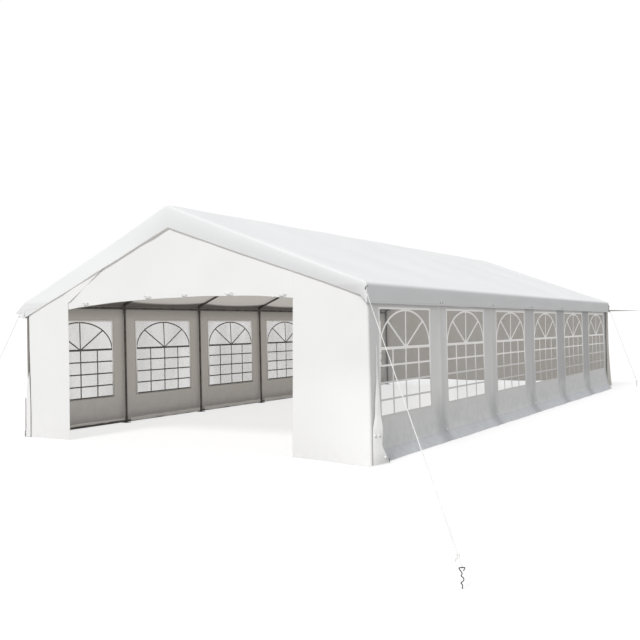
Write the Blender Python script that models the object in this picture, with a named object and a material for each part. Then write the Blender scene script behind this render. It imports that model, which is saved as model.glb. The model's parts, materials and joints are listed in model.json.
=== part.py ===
"""Marquee tent: a tubular steel frame, six metres wide and twelve long, under a white sheet cover.

+Z is up, +Y runs along the ridge and the open gable faces -Y. The origin is on the ground, in the
middle of the plan. All values are in metres.
"""
import math

import bmesh
import bpy
from mathutils import Matrix, Vector

# Plan and heights of the frame, measured on the tube axes
HALF_WIDTH = 3.0
BAY = 2.0
BAY_COUNT = 6
HALF_LENGTH = BAY * BAY_COUNT / 2
EAVE_Z = 2.085
RIDGE_Z = 3.27
BEAM_Z = 2.025

# Tubes, their connector sleeves and the gap left where two pieces meet. NEAR_Y is the share of a
# direction along Y past which a tube's facets are squared to X instead of Y.
TUBE_R = 0.019
SLEEVE_R = 0.0235
SIDES = 12
SMOOTH_ANGLE = math.radians(40)
NEAR_Y = 0.9
GAP = 0.0003
WALL_INSET = 0.003

# Connectors
ELBOW_DROP = 0.15
ARM_LENGTH = 0.12
TUBE_LAP = 0.005
SOCKET_TOP = 0.125
RAIL_Z = 0.030
PLATE_HALF = 0.06
PLATE_THICK = 0.005

# Sheets
FABRIC = 0.004
FILM = 0.002
OVERHANG = 0.10
EAVE_FACE = 0.078
EAVE_RADIUS = 0.06
EAVE_STEPS = 4
VALANCE_Z = 1.845
FLAP_PEAK_Z = 2.995

# Side walls
WALL_TOP_Z = 2.05
SKIRT_Z = 0.13
SKIRT_OUT = 0.137
WINDOW_HALF = 0.7276
WINDOW_LOW_Z = 0.488
WINDOW_HIGH_Z = 1.795
FILM_LAP = 0.018

# End walls
DOOR_HALF = 2.0
DOOR_SIDE_Z = 1.945
DOOR_BOW = 0.085
DOOR_STEPS = 8
FLARE = 0.04
FLARE_Z = 2.0
LIFT = 0.001
PANEL_OUTER_X = 3.03
PANEL_OUTER_X_LEFT = 2.93
ROLL_R = 0.03
ROLL_HALF = 1.985

# Guy ropes and ground stakes
ROPE_R = 0.004
ROPE_SIDES = 8
WIRE_SIDES = 8
ROPE_TOP_Z = 1.96
LONG_STAKE = (5.64, 9.67)
SHORT_STAKE = (3.55, 6.75)
WIRE_R = 0.003
HANDLE_Z = 0.124
HANDLE_HALF = 0.021
HANDLE_BEND = 0.010
HANDLE_OPEN = 0.62
BEND_STEPS = 4
NECK_Z = 0.092
COIL_R = 0.010
COIL_LOW_Z = 0.012
COIL_TURNS = 1.75
COIL_STEPS = 28

SLOPE = (RIDGE_Z - EAVE_Z) / HALF_WIDTH
SLOPE_LENGTH = math.hypot(HALF_WIDTH, RIDGE_Z - EAVE_Z)
STATIONS = [(index - BAY_COUNT / 2) * BAY for index in range(BAY_COUNT + 1)]
SIDE_NAMES = {-1: "left", 1: "right"}
COVER_END = HALF_LENGTH + OVERHANG
WALL_INNER = SLEEVE_R + GAP
WALL_OUTER = WALL_INNER + FABRIC


def steep(distance):
    """Height that a distance square to the roof slope takes up vertically."""
    return distance * math.hypot(1, SLOPE)


def under_roof(x):
    """Height of the line that the tops of the end walls follow, just under the cover."""
    return RIDGE_Z + steep(SLEEVE_R) - SLOPE * abs(x)


def on_slope(side, along):
    """Point on a rafter's axis, at a distance from the eave, in the plane y = 0."""
    share = along / SLOPE_LENGTH
    return Vector((side * HALF_WIDTH * (1 - share), 0, EAVE_Z + (RIDGE_Z - EAVE_Z) * share))


def make_material(name, colour, roughness, metallic=0.0):
    """Principled material with one colour."""
    material = bpy.data.materials.new(name)
    material.use_nodes = True
    shader = material.node_tree.nodes["Principled BSDF"]
    shader.inputs["Base Color"].default_value = (*colour, 1.0)
    shader.inputs["Roughness"].default_value = roughness
    shader.inputs["Metallic"].default_value = metallic
    return material


def add_object(name, mesh, material):
    """Put a mesh in the scene under a node name."""
    obj = bpy.data.objects.new(name, mesh)
    mesh.materials.append(material)
    bpy.context.scene.collection.objects.link(obj)
    return obj


def mesh_from(bm, name):
    """Turn a bmesh into a mesh whose faces point outwards."""
    bmesh.ops.recalc_face_normals(bm, faces=bm.faces)
    mesh = bpy.data.meshes.new(name)
    bm.to_mesh(mesh)
    bm.free()
    return mesh


def pipe_mesh(name, points, radius, sides=SIDES):
    """Closed round bar along its points, mitred where it bends, with level top and bottom facets."""
    bm = bmesh.new()
    rings = []
    for index, point in enumerate(points):
        before = (point - points[max(index - 1, 0)]).normalized()
        after = (points[min(index + 1, len(points) - 1)] - point).normalized()
        along = before if index else after
        cut = (before + after).normalized()
        level = Vector((1, 0, 0)) if abs(along.y) > NEAR_Y else Vector((0, 1, 0))
        across = (level - along * level.dot(along)).normalized()
        rise = along.cross(across)
        ring = []
        for step in range(sides):
            angle = 2 * math.pi * step / sides
            spoke = radius * (across * math.cos(angle) + rise * math.sin(angle))
            ring.append(bm.verts.new(point + spoke - along * (spoke.dot(cut) / along.dot(cut))))
        rings.append(ring)
    for near, far in zip(rings, rings[1:]):
        for step in range(sides):
            following = (step + 1) % sides
            bm.faces.new((near[step], near[following], far[following], far[step]))
    bm.faces.new(rings[0])
    bm.faces.new(rings[-1])
    if len(points) > 3:
        bmesh.ops.triangulate(bm, faces=bm.faces)
    mesh = mesh_from(bm, name)
    mesh.shade_smooth()
    mesh.set_sharp_from_angle(angle=SMOOTH_ANGLE)
    return mesh


def box_mesh(name, low, high):
    """Closed box between two corners."""
    low, high = Vector(low), Vector(high)
    bm = bmesh.new()
    size = Matrix.Diagonal((*(high - low), 1))
    bmesh.ops.create_cube(bm, size=1, matrix=Matrix.Translation((low + high) / 2) @ size)
    return mesh_from(bm, name)


def fuse(name, solids, material):
    """One closed solid from overlapping ones, by a Boolean union."""
    body = add_object(name, solids[0], material)
    group = bpy.data.collections.new(name + "_parts")
    for mesh in solids[1:]:
        group.objects.link(bpy.data.objects.new(mesh.name, mesh))
    bpy.context.scene.collection.children.link(group)
    union = body.modifiers.new("union", "BOOLEAN")
    union.operation = "UNION"
    union.solver = "EXACT"
    union.operand_type = "COLLECTION"
    union.collection = group
    graph = bpy.context.evaluated_depsgraph_get()
    joined = bpy.data.meshes.new_from_object(body.evaluated_get(graph))
    body.modifiers.clear()
    body.data = joined
    for piece in list(group.objects):
        bpy.data.objects.remove(piece)
    bpy.data.collections.remove(group)


def sheet_object(name, rows, material, skip=()):
    """Sheet of fabric from rows of points on its outer face, thickened inwards.

    skip holds the (row, column) cells that are left open, such as windows.
    """
    bm = bmesh.new()
    grid = [[bm.verts.new(point) for point in row] for row in rows]
    for i in range(len(grid) - 1):
        for j in range(len(grid[i]) - 1):
            if (i, j) not in skip:
                bm.faces.new((grid[i][j], grid[i][j + 1], grid[i + 1][j + 1], grid[i + 1][j]))
    mesh = bpy.data.meshes.new(name)
    bm.to_mesh(mesh)
    bm.free()
    return thicken(add_object(name, mesh, material))


def thicken(obj, thickness=FABRIC):
    """Give an outer face its thickness, inwards."""
    shell = obj.modifiers.new("thickness", "SOLIDIFY")
    shell.thickness = thickness
    shell.offset = -1
    shell.solidify_mode = "NON_MANIFOLD"
    shell.nonmanifold_thickness_mode = "CONSTRAINTS"
    shell.nonmanifold_merge_threshold = 0.0001
    return obj


def build_base_rail(side, steel):
    """Ground rail with its foot plates and leg sockets."""
    x = side * HALF_WIDTH
    end = HALF_LENGTH + TUBE_LAP
    solids = [pipe_mesh("rail", [Vector((x, -end, RAIL_Z)), Vector((x, end, RAIL_Z))], TUBE_R)]
    for y in STATIONS:
        solids.append(box_mesh("plate", (x - PLATE_HALF, y - PLATE_HALF, 0),
                               (x + PLATE_HALF, y + PLATE_HALF, PLATE_THICK)))
        socket = [Vector((x, y, PLATE_THICK / 2)), Vector((x, y, SOCKET_TOP))]
        solids.append(pipe_mesh("socket", socket, SLEEVE_R))
    fuse("base_rail_" + SIDE_NAMES[side], solids, steel)


def build_legs(side, steel):
    """Legs of one side, from the ground sockets to the eave elbows."""
    for number, y in enumerate(STATIONS, 1):
        low = Vector((side * HALF_WIDTH, y, SOCKET_TOP + GAP))
        high = Vector((side * HALF_WIDTH, y, EAVE_Z - ELBOW_DROP - GAP))
        name = f"leg_{SIDE_NAMES[side]}_{number}"
        add_object(name, pipe_mesh(name, [low, high], TUBE_R), steel)


def build_eave_beam(side, steel):
    """Eave tube with an elbow at each frame."""
    x = side * HALF_WIDTH
    end = HALF_LENGTH + TUBE_LAP
    solids = [pipe_mesh("beam", [Vector((x, -end, BEAM_Z)), Vector((x, end, BEAM_Z))], TUBE_R)]
    for y in STATIONS:
        elbow = [Vector((x, y, EAVE_Z - ELBOW_DROP)), Vector((x, y, EAVE_Z)),
                 on_slope(side, ARM_LENGTH) + Vector((0, y, 0))]
        solids.append(pipe_mesh("elbow", elbow, SLEEVE_R))
    fuse("eave_beam_" + SIDE_NAMES[side], solids, steel)


def build_rafters(side, steel):
    """Rafters of one side, from the eave elbows to the ridge connectors."""
    for number, y in enumerate(STATIONS, 1):
        shift = Vector((0, y, 0))
        low = on_slope(side, ARM_LENGTH + GAP) + shift
        high = on_slope(side, SLOPE_LENGTH - ARM_LENGTH - GAP) + shift
        name = f"rafter_{SIDE_NAMES[side]}_{number}"
        add_object(name, pipe_mesh(name, [low, high], TUBE_R), steel)


def build_ridge_beam(steel):
    """Ridge tube with a two-armed connector at each frame."""
    end = HALF_LENGTH + TUBE_LAP
    solids = [pipe_mesh("beam", [Vector((0, -end, RIDGE_Z)), Vector((0, end, RIDGE_Z))], TUBE_R)]
    for y in STATIONS:
        shift = Vector((0, y, 0))
        reach = SLOPE_LENGTH - ARM_LENGTH
        arms = [on_slope(-1, reach), on_slope(1, SLOPE_LENGTH), on_slope(1, reach)]
        solids.append(pipe_mesh("connector", [point + shift for point in arms], SLEEVE_R))
    fuse("ridge_beam", solids, steel)


def cover_profile():
    """Outer cross-section of the roof cover, from the left valance hem to the right one."""
    reach = HALF_WIDTH + EAVE_FACE
    peak = RIDGE_Z + steep(SLEEVE_R + GAP + FABRIC)
    centre_x = reach - EAVE_RADIUS
    centre_z = peak - SLOPE * centre_x - steep(EAVE_RADIUS)
    bend = math.pi / 2 - math.atan(SLOPE)
    right = [(0.0, peak)]
    for step in range(EAVE_STEPS + 1):
        angle = bend * (1 - step / EAVE_STEPS)
        right.append((centre_x + EAVE_RADIUS * math.cos(angle),
                      centre_z + EAVE_RADIUS * math.sin(angle)))
    right.append((reach, VALANCE_Z))
    left = [(-x, z) for x, z in reversed(right[1:])]
    return left + right


def build_roof_cover(fabric):
    """Roof sheet with its side valances and the flaps that hang over both gables."""
    profile = cover_profile()
    reach = HALF_WIDTH + EAVE_FACE
    bm = bmesh.new()
    ends = {}
    for end in (-COVER_END, COVER_END):
        ends[end] = [bm.verts.new((x, end, z)) for x, z in profile]
    front, back = ends[-COVER_END], ends[COVER_END]
    for i in range(len(profile) - 1):
        bm.faces.new((front[i], front[i + 1], back[i + 1], back[i]))
    for end, edge in ends.items():
        hem = [edge[0]]
        for x, _ in profile[1:-1]:
            low = FLAP_PEAK_Z - (FLAP_PEAK_Z - VALANCE_Z) * abs(x) / reach
            hem.append(bm.verts.new((x, end, low)))
        hem.append(edge[-1])
        for i in range(len(profile) - 1):
            corners = [edge[i], edge[i + 1], hem[i + 1], hem[i]]
            face = [corner for k, corner in enumerate(corners) if corner not in corners[:k]]
            bm.faces.new(face if end > 0 else reversed(face))
    bmesh.ops.recalc_face_normals(bm, faces=bm.faces)
    mesh = bpy.data.meshes.new("roof_cover")
    bm.to_mesh(mesh)
    bm.free()
    thicken(add_object("roof_cover", mesh, fabric))


def build_side_wall(side, fabric):
    """Side wall with six window openings and a skirt that runs out on the ground."""
    end = HALF_LENGTH + SLEEVE_R - WALL_INSET
    columns = [-end]
    for middle in [y + BAY / 2 for y in STATIONS[:-1]]:
        columns += [middle - WINDOW_HALF, middle + WINDOW_HALF]
    columns.append(end)
    wall = HALF_WIDTH + WALL_OUTER
    levels = [(wall, WALL_TOP_Z), (wall, WINDOW_HIGH_Z), (wall, WINDOW_LOW_Z), (wall, SKIRT_Z),
              (HALF_WIDTH + SKIRT_OUT, FABRIC)]
    rows = []
    for x, z in levels:
        row = [Vector((side * x, y, z)) for y in columns]
        rows.append(row if side < 0 else row[::-1])
    holes = [(1, 1 + 2 * window) for window in range(BAY_COUNT)]
    sheet_object("side_wall_" + SIDE_NAMES[side], rows, fabric, holes)


def build_window_film(side, film):
    """Clear film behind one side wall's windows."""
    outer = HALF_WIDTH + WALL_INNER - GAP
    reach = HALF_LENGTH - BAY / 2 + WINDOW_HALF + FILM_LAP
    x_values = sorted((side * (outer - FILM), side * outer))
    name = "window_film_" + SIDE_NAMES[side]
    mesh = box_mesh(name, (x_values[0], -reach, WINDOW_LOW_Z - FILM_LAP),
                    (x_values[1], reach, WINDOW_HIGH_Z + FILM_LAP))
    add_object(name, mesh, film)


def door_top(x):
    """Height of the doorway's bowed upper edge."""
    return DOOR_SIDE_Z + DOOR_BOW * (1 - (x / DOOR_HALF) ** 2)


def flare(z):
    """How far an end panel leans out of its plane at a height."""
    return FLARE * max(0.0, 1 - z / FLARE_Z)


def build_end_panel(name, x_low, x_high, end, fabric):
    """End wall panel from the ground to the roof line, with its foot pulled outwards."""
    plane = HALF_LENGTH + WALL_OUTER
    rows = []
    for level in (LIFT, FLARE_Z, None):
        row = []
        for x in (x_low, x_high):
            z = under_roof(x) if level is None else level
            row.append(Vector((x, end * (plane + flare(z)), z)))
        rows.append(row if end < 0 else row[::-1])
    sheet_object(name, rows, fabric)


def build_gable_panel(name, end, fabric):
    """Gable panel over a doorway, up to the roof line."""
    plane = end * (HALF_LENGTH + WALL_OUTER)
    half = DOOR_HALF - GAP
    places = [half * (2 * step / DOOR_STEPS - 1) for step in range(DOOR_STEPS + 1)]
    low = [Vector((x, plane, door_top(x) + ROLL_R)) for x in places]
    high = [Vector((x, plane, under_roof(x))) for x in places]
    rows = [low, high] if end < 0 else [low[::-1], high[::-1]]
    sheet_object(name, rows, fabric)


def build_rolled_door(fabric):
    """Door sheet of the open gable, rolled up along the top of the doorway."""
    y = -(HALF_LENGTH + WALL_OUTER + GAP + ROLL_R)
    curve = bpy.data.curves.new("rolled_door", "CURVE")
    curve.dimensions = "3D"
    curve.bevel_depth = ROLL_R
    curve.bevel_resolution = 2
    curve.use_fill_caps = True
    spline = curve.splines.new("POLY")
    spline.points.add(2 * DOOR_STEPS)
    for step, point in enumerate(spline.points):
        x = ROLL_HALF * (step / DOOR_STEPS - 1)
        point.co = (x, y, door_top(x) + ROLL_R, 1)
    add_object("rolled_door", curve, fabric)


def build_closed_door(fabric):
    """Door sheet of the closed gable, from the ground to the gable panel."""
    plane = HALF_LENGTH + WALL_OUTER
    half = DOOR_HALF - GAP
    places = [half * (1 - 2 * step / DOOR_STEPS) for step in range(DOOR_STEPS + 1)]
    rows = [[Vector((x, plane + flare(LIFT), LIFT)) for x in places],
            [Vector((x, plane + flare(DOOR_SIDE_Z), DOOR_SIDE_Z)) for x in places],
            [Vector((x, plane, door_top(x) + ROLL_R - GAP * 2)) for x in places]]
    sheet_object("back_door", rows, fabric)


def wire_corner(before, corner, after):
    """Points that round a corner of a bent wire."""
    start = corner + (before - corner).normalized() * HANDLE_BEND
    end = corner + (after - corner).normalized() * HANDLE_BEND
    points = []
    for step in range(BEND_STEPS + 1):
        share = step / BEND_STEPS
        points.append(start.lerp(corner, share).lerp(corner.lerp(end, share), share))
    return points


def stake_path():
    """Wire of a ground stake: two turns of a screw, a neck and a three-cornered handle."""
    points = [Vector((0, 0, 0)), Vector((0, 0, COIL_LOW_Z / 2))]
    for step in range(COIL_STEPS + 1):
        share = step / COIL_STEPS
        angle = 2 * math.pi * COIL_TURNS * share
        swell = COIL_R * math.sin(math.pi * share)
        height = COIL_LOW_Z + (NECK_Z - COIL_LOW_Z) * share
        points.append(Vector((swell * math.cos(angle), swell * math.sin(angle), height)))
    neck = points[-1]
    left = Vector((-HANDLE_HALF, 0, HANDLE_Z))
    right = Vector((HANDLE_HALF, 0, HANDLE_Z))
    points += wire_corner(neck, left, right)
    points += wire_corner(left, right, neck)
    points.append(right.lerp(neck, HANDLE_OPEN))
    return points


def build_stake(name, place, bar_direction, steel):
    """Ground stake, cut at the ground, with its handle across the rope."""
    stake = add_object(name, pipe_mesh(name, stake_path(), WIRE_R, WIRE_SIDES), steel)
    stake.location = place
    stake.rotation_euler = (0, 0, math.atan2(bar_direction.y, bar_direction.x))


def build_guy(name, side, end, stake_plan, steel, rope):
    """Taut rope from a corner of the cover to its ground stake."""
    corner = Vector((side * (HALF_WIDTH + EAVE_FACE), end * COVER_END, ROPE_TOP_Z))
    stake_place = Vector((side * stake_plan[0], end * stake_plan[1], 0))
    hook = stake_place + Vector((0, 0, HANDLE_Z))
    line = (hook - corner).normalized()
    flat = math.hypot(line.x, line.y)
    start = corner + line * (ROPE_R * abs(line.z) + GAP * 2) / flat
    finish = hook - line * (WIRE_R + GAP)
    rope_name = "guy_rope_" + name
    add_object(rope_name, pipe_mesh(rope_name, [start, finish], ROPE_R, ROPE_SIDES), rope)
    across = Vector((-line.y, line.x, 0))
    build_stake("ground_stake_" + name, stake_place, across, steel)


def build_tent():
    """Build every piece of the tent."""
    steel = make_material("galvanised_steel", (0.115, 0.108, 0.102), 0.45, 0.85)
    dark_steel = make_material("stake_steel", (0.045, 0.045, 0.047), 0.5, 0.8)
    white = make_material("white_sheet", (0.86, 0.87, 0.88), 0.5)
    film = make_material("clear_film", (0.80, 0.82, 0.83), 0.15)
    rope = make_material("pale_rope", (0.78, 0.78, 0.74), 0.8)
    for side in SIDE_NAMES:
        build_base_rail(side, steel)
        build_legs(side, steel)
        build_eave_beam(side, steel)
        build_rafters(side, steel)
        build_side_wall(side, white)
        build_window_film(side, film)
    build_ridge_beam(steel)
    build_roof_cover(white)
    build_end_panel("front_panel_left", -PANEL_OUTER_X_LEFT, -DOOR_HALF, -1, white)
    build_end_panel("front_panel_right", DOOR_HALF, PANEL_OUTER_X, -1, white)
    build_gable_panel("front_gable_panel", -1, white)
    build_rolled_door(white)
    build_end_panel("back_panel_left", -PANEL_OUTER_X, -DOOR_HALF, 1, white)
    build_end_panel("back_panel_right", DOOR_HALF, PANEL_OUTER_X, 1, white)
    build_gable_panel("back_gable_panel", 1, white)
    build_closed_door(white)
    build_guy("front_right", 1, -1, LONG_STAKE, dark_steel, rope)
    build_guy("back_left", -1, 1, LONG_STAKE, dark_steel, rope)
    build_guy("front_left", -1, -1, SHORT_STAKE, dark_steel, rope)
    build_guy("back_right", 1, 1, SHORT_STAKE, dark_steel, rope)


for old in list(bpy.data.objects):
    bpy.data.objects.remove(old)
build_tent()
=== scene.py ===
"""Looks of a marquee tent, six metres by twelve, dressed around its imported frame.

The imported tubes, foot plates and ground stakes stay and get their finishes here. Every sheet, the
clear window film and the guy ropes are made anew on the places that the frame gives them.
All values are in metres: +Z is up, +Y runs along the ridge and the open gable faces -Y.
"""
import json
import logging
import math
from dataclasses import dataclass, field
from enum import Enum
from typing import Any, Callable, Optional, Sequence

import bmesh
import bpy
import numpy as np
from bpy.types import Material, Mesh, Node, NodeSocket, NodeTree, Object
from mathutils import Matrix, Vector

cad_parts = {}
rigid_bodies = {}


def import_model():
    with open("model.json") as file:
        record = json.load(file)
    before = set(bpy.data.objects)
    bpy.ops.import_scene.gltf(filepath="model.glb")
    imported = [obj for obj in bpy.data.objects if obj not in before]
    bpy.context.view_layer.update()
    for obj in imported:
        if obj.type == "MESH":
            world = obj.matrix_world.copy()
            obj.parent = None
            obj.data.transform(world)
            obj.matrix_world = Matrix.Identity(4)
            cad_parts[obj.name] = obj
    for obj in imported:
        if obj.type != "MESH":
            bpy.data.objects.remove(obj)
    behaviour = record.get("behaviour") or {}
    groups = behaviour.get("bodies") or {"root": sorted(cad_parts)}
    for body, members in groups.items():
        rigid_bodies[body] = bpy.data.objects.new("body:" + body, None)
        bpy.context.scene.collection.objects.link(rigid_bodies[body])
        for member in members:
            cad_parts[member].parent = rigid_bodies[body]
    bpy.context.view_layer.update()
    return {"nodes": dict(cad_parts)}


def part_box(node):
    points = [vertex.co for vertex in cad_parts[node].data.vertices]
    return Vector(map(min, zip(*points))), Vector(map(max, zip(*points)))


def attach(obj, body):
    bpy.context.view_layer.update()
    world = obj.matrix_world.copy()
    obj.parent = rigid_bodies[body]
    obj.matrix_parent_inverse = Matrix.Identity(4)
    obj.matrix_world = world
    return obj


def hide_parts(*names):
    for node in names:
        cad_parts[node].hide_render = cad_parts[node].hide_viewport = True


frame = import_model()
BODY = "root"
SEED = 7
MERGE = 0.0004
CLOTH_ANGLE = math.radians(50)
SMALL_ANGLE = math.radians(40)
BLACK = (0, 0, 0, 1)
WHITE = (1, 1, 1, 1)
log = logging.getLogger("marquee")

Triple = tuple[float, float, float]


class Sign(Enum):
    """One of two opposite places; its value is the sign of its axis."""

    @property
    def word(self) -> str:
        """Name as the node names have it."""
        return self.name.lower()


class Side(Sign):
    """The two long sides of the tent."""

    LEFT = -1
    RIGHT = 1

    @property
    def out(self) -> tuple[int, int, int]:
        """Direction that the side looks to."""
        return (self.value, 0, 0)


class End(Sign):
    """The two gable ends of the tent."""

    FRONT = -1
    BACK = 1

    @property
    def out(self) -> tuple[int, int, int]:
        """Direction that the end looks to."""
        return (0, self.value, 0)


@dataclass(frozen=True)
class Plan:
    """Driving sizes of the tent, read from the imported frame."""

    half_width: float
    half_length: float
    bay: float
    wall_face: float
    end_face: float
    reach: float
    cover_end: float
    peak_z: float
    valance_z: float
    skirt_x: float
    slope: float = 0.395
    cover_lift: float = 0.0046
    bays: int = 6

    @classmethod
    def from_frame(cls) -> "Plan":
        """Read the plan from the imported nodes.

        Returns:
            The plan of this tent.
        """
        first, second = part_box("leg_right_1"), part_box("leg_right_2")
        cover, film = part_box("roof_cover"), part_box("window_film_right")
        sheet, past_leg = 0.0043, 0.0278
        axis = (first[0] + first[1]) / 2
        return cls(
            half_width=axis.x,
            half_length=-axis.y,
            bay=second[0].y - first[0].y,
            wall_face=film[1].x + sheet,
            end_face=-axis.y + past_leg,
            reach=cover[1].x,
            cover_end=cover[1].y,
            peak_z=cover[1].z,
            valance_z=cover[0].z,
            skirt_x=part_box("side_wall_right")[1].x,
        )

    @property
    def stations(self) -> list[float]:
        """Places of the frames along the ridge."""
        return [self.bay * (index - self.bays / 2) for index in range(self.bays + 1)]

    @property
    def middles(self) -> list[float]:
        """Places of the window middles along the ridge."""
        return [place + self.bay / 2 for place in self.stations[:-1]]

    def roof_z(self, x: float) -> float:
        """Height of the cover's outer face over a distance from the ridge line."""
        return self.peak_z - self.slope * abs(x)

    def under_roof(self, x: float) -> float:
        """Height that the end walls reach, just under the cover."""
        return self.roof_z(x) - self.cover_lift


def ripple(u: np.ndarray, v: np.ndarray, seed: int, wave: float, count: int = 7) -> np.ndarray:
    """Soft irregular waves over a sheet, the same in each run.

    Args:
        u: First coordinate of each point, in metres.
        v: Second coordinate of each point, in metres.
        seed: Picks one pattern.
        wave: Length of the waves, in metres.
        count: How many plain waves are added up.

    Returns:
        Heights between about -1 and 1.
    """
    chance = np.random.RandomState(SEED + seed)
    total = np.zeros(np.broadcast(u, v).shape)
    for _ in range(count):
        angle, phase = chance.uniform(0, 2 * math.pi, 2)
        length = wave * chance.uniform(0.6, 1.7)
        total += np.sin(2 * math.pi * (u * math.cos(angle) + v * math.sin(angle)) / length + phase)
    return total / count * 1.6


def ease(value: np.ndarray) -> np.ndarray:
    """Smooth step from 0 to 1 for values from 0 to 1."""
    share = np.clip(value, 0.0, 1.0)
    return share * share * (3 - 2 * share)


def bell(value: np.ndarray, middle: float, width: float) -> np.ndarray:
    """Soft bump of height 1 round a middle."""
    return np.exp(-((value - middle) / width) ** 2)


def taper(z: np.ndarray, top: float, power: float = 1.0) -> np.ndarray:
    """1 at the ground, falling to 0 at a height and above it."""
    return (1 - np.clip(z / top, 0, 1)) ** power


def fill(low: np.ndarray, high: np.ndarray, rows: int) -> tuple[np.ndarray, np.ndarray]:
    """Shares from 0 to 1 by row, and the heights that they give between two edges."""
    share = np.linspace(0, 1, rows)[:, None]
    return share, low + share * (high - low)


def spread(stops: Sequence[float], step: float) -> np.ndarray:
    """Ascending places that hit every stop and lie about a step apart in between."""
    places = [stops[0]]
    for low, high in zip(stops, stops[1:]):
        cells = max(1, round((high - low) / step))
        places += list(np.linspace(low, high, cells + 1)[1:])
    return np.array(places)


def adopt(obj: Object, slot: str, *nodes: str) -> Object:
    """Let a finished piece ride on the tent and stand for its CAD nodes.

    Args:
        obj: The finished piece.
        slot: The record's material slot; not used.
        nodes: The CAD nodes that it stands for.

    Returns:
        The piece.
    """
    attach(obj, BODY)
    if nodes:
        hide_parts(*nodes)
    log.info("%s: %d faces", obj.name, len(obj.data.polygons))
    return obj


def new_object(name: str, mesh: Mesh) -> Object:
    """Put a mesh in the scene at the origin."""
    obj = bpy.data.objects.new(name, mesh)
    bpy.context.scene.collection.objects.link(obj)
    return obj


def settle(obj: Object) -> Object:
    """Turn an object's modifiers into plain mesh.

    Args:
        obj: The object, whose modifiers are then gone.

    Returns:
        The same object.
    """
    graph = bpy.context.evaluated_depsgraph_get()
    mesh = bpy.data.meshes.new_from_object(obj.evaluated_get(graph))
    obj.modifiers.clear()
    old, obj.data = obj.data, mesh
    mesh.name = obj.name
    bpy.data.meshes.remove(old)
    return obj


@dataclass
class Sheet:
    """Cloth that is drawn as grids of points on its outer face, then given its thickness."""

    name: str
    thickness: float = 0.0016
    points: list[np.ndarray] = field(default_factory=list)
    faces: list[tuple[int, ...]] = field(default_factory=list)
    places: list[np.ndarray] = field(default_factory=list)
    total: int = 0

    def add(self, grid: np.ndarray, outward: Sequence[float], uv: Optional[np.ndarray] = None,
            skip: Optional[Callable[[np.ndarray], bool]] = None) -> "Sheet":
        """Add a grid of points.

        Args:
            grid: Points by row and column.
            outward: Direction that the outer face looks to, on the whole.
            uv: Place of each point on the flat cloth; worked out from the grid when left out.
            skip: Says which cells, by their middle, are left open.

        Returns:
            This sheet.
        """
        rows, columns = grid.shape[:2]
        if uv is None:
            along = np.linalg.norm(np.diff(grid, axis=1), axis=2)
            up = np.linalg.norm(np.diff(grid, axis=0), axis=2)
            u = np.concatenate([np.zeros((rows, 1)), np.cumsum(along, axis=1)], axis=1)
            v = np.concatenate([np.zeros((1, columns)), np.cumsum(up, axis=0)], axis=0)
            uv = np.stack([u, v], axis=2)
        across, rise = grid[:, 1:] - grid[:, :-1], grid[1:] - grid[:-1]
        normal = np.cross(across[:-1], rise[:, :-1]).sum(axis=(0, 1))
        turned = float(normal @ np.array(outward, float)) < 0
        for i in range(rows - 1):
            for j in range(columns - 1):
                if skip and skip(grid[i:i + 2, j:j + 2].mean(axis=(0, 1))):
                    continue
                a = self.total + i * columns + j
                cell = (a, a + 1, a + 1 + columns, a + columns)
                self.faces.append(cell[::-1] if turned else cell)
        self.points.append(grid.reshape(-1, 3))
        self.places.append(uv.reshape(-1, 2))
        self.total += rows * columns
        return self

    def mesh(self) -> Mesh:
        """Join the grids into one open mesh with its flat places as UV.

        Returns:
            The mesh.
        """
        mesh = bpy.data.meshes.new(self.name)
        mesh.from_pydata(np.concatenate(self.points).tolist(), [], self.faces)
        layer = mesh.uv_layers.new(name="cloth")
        flat = np.concatenate(self.places)
        corners = np.empty(len(mesh.loops), int)
        mesh.loops.foreach_get("vertex_index", corners)
        layer.data.foreach_set("uv", flat[corners].astype(np.float32).ravel())
        bm = bmesh.new()
        bm.from_mesh(mesh)
        bmesh.ops.remove_doubles(bm, verts=bm.verts, dist=MERGE)
        loose = [vertex for vertex in bm.verts if not vertex.link_faces]
        bmesh.ops.delete(bm, geom=loose, context="VERTS")
        bm.to_mesh(mesh)
        bm.free()
        return mesh

    def hang(self, material: Material, slot: str, *nodes: str, **soft: Any) -> Object:
        """Args:
            material: Finish of the cloth.
            slot: The record's material slot; not used.
            nodes: The CAD nodes that it stands for.
            soft: Its flat size, how and on what it is held, and its area if it isn't a rectangle; not used.

        Returns:
            The finished piece.
        """
        obj = self.build(material)
        return adopt(obj, slot, *nodes)

    def build(self, material: Material) -> Object:
        """Make the thick sheet without declaring it.

        Args:
            material: Finish of the cloth.

        Returns:
            The finished object.
        """
        obj = new_object(self.name, self.mesh())
        obj.data.materials.append(material)
        shell = obj.modifiers.new("thickness", "SOLIDIFY")
        shell.thickness = self.thickness
        shell.offset = -1
        shell.use_even_offset = True
        shell.use_quality_normals = True
        settle(obj)
        obj.data.shade_smooth()
        obj.data.set_sharp_from_angle(angle=CLOTH_ANGLE)
        return obj


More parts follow.
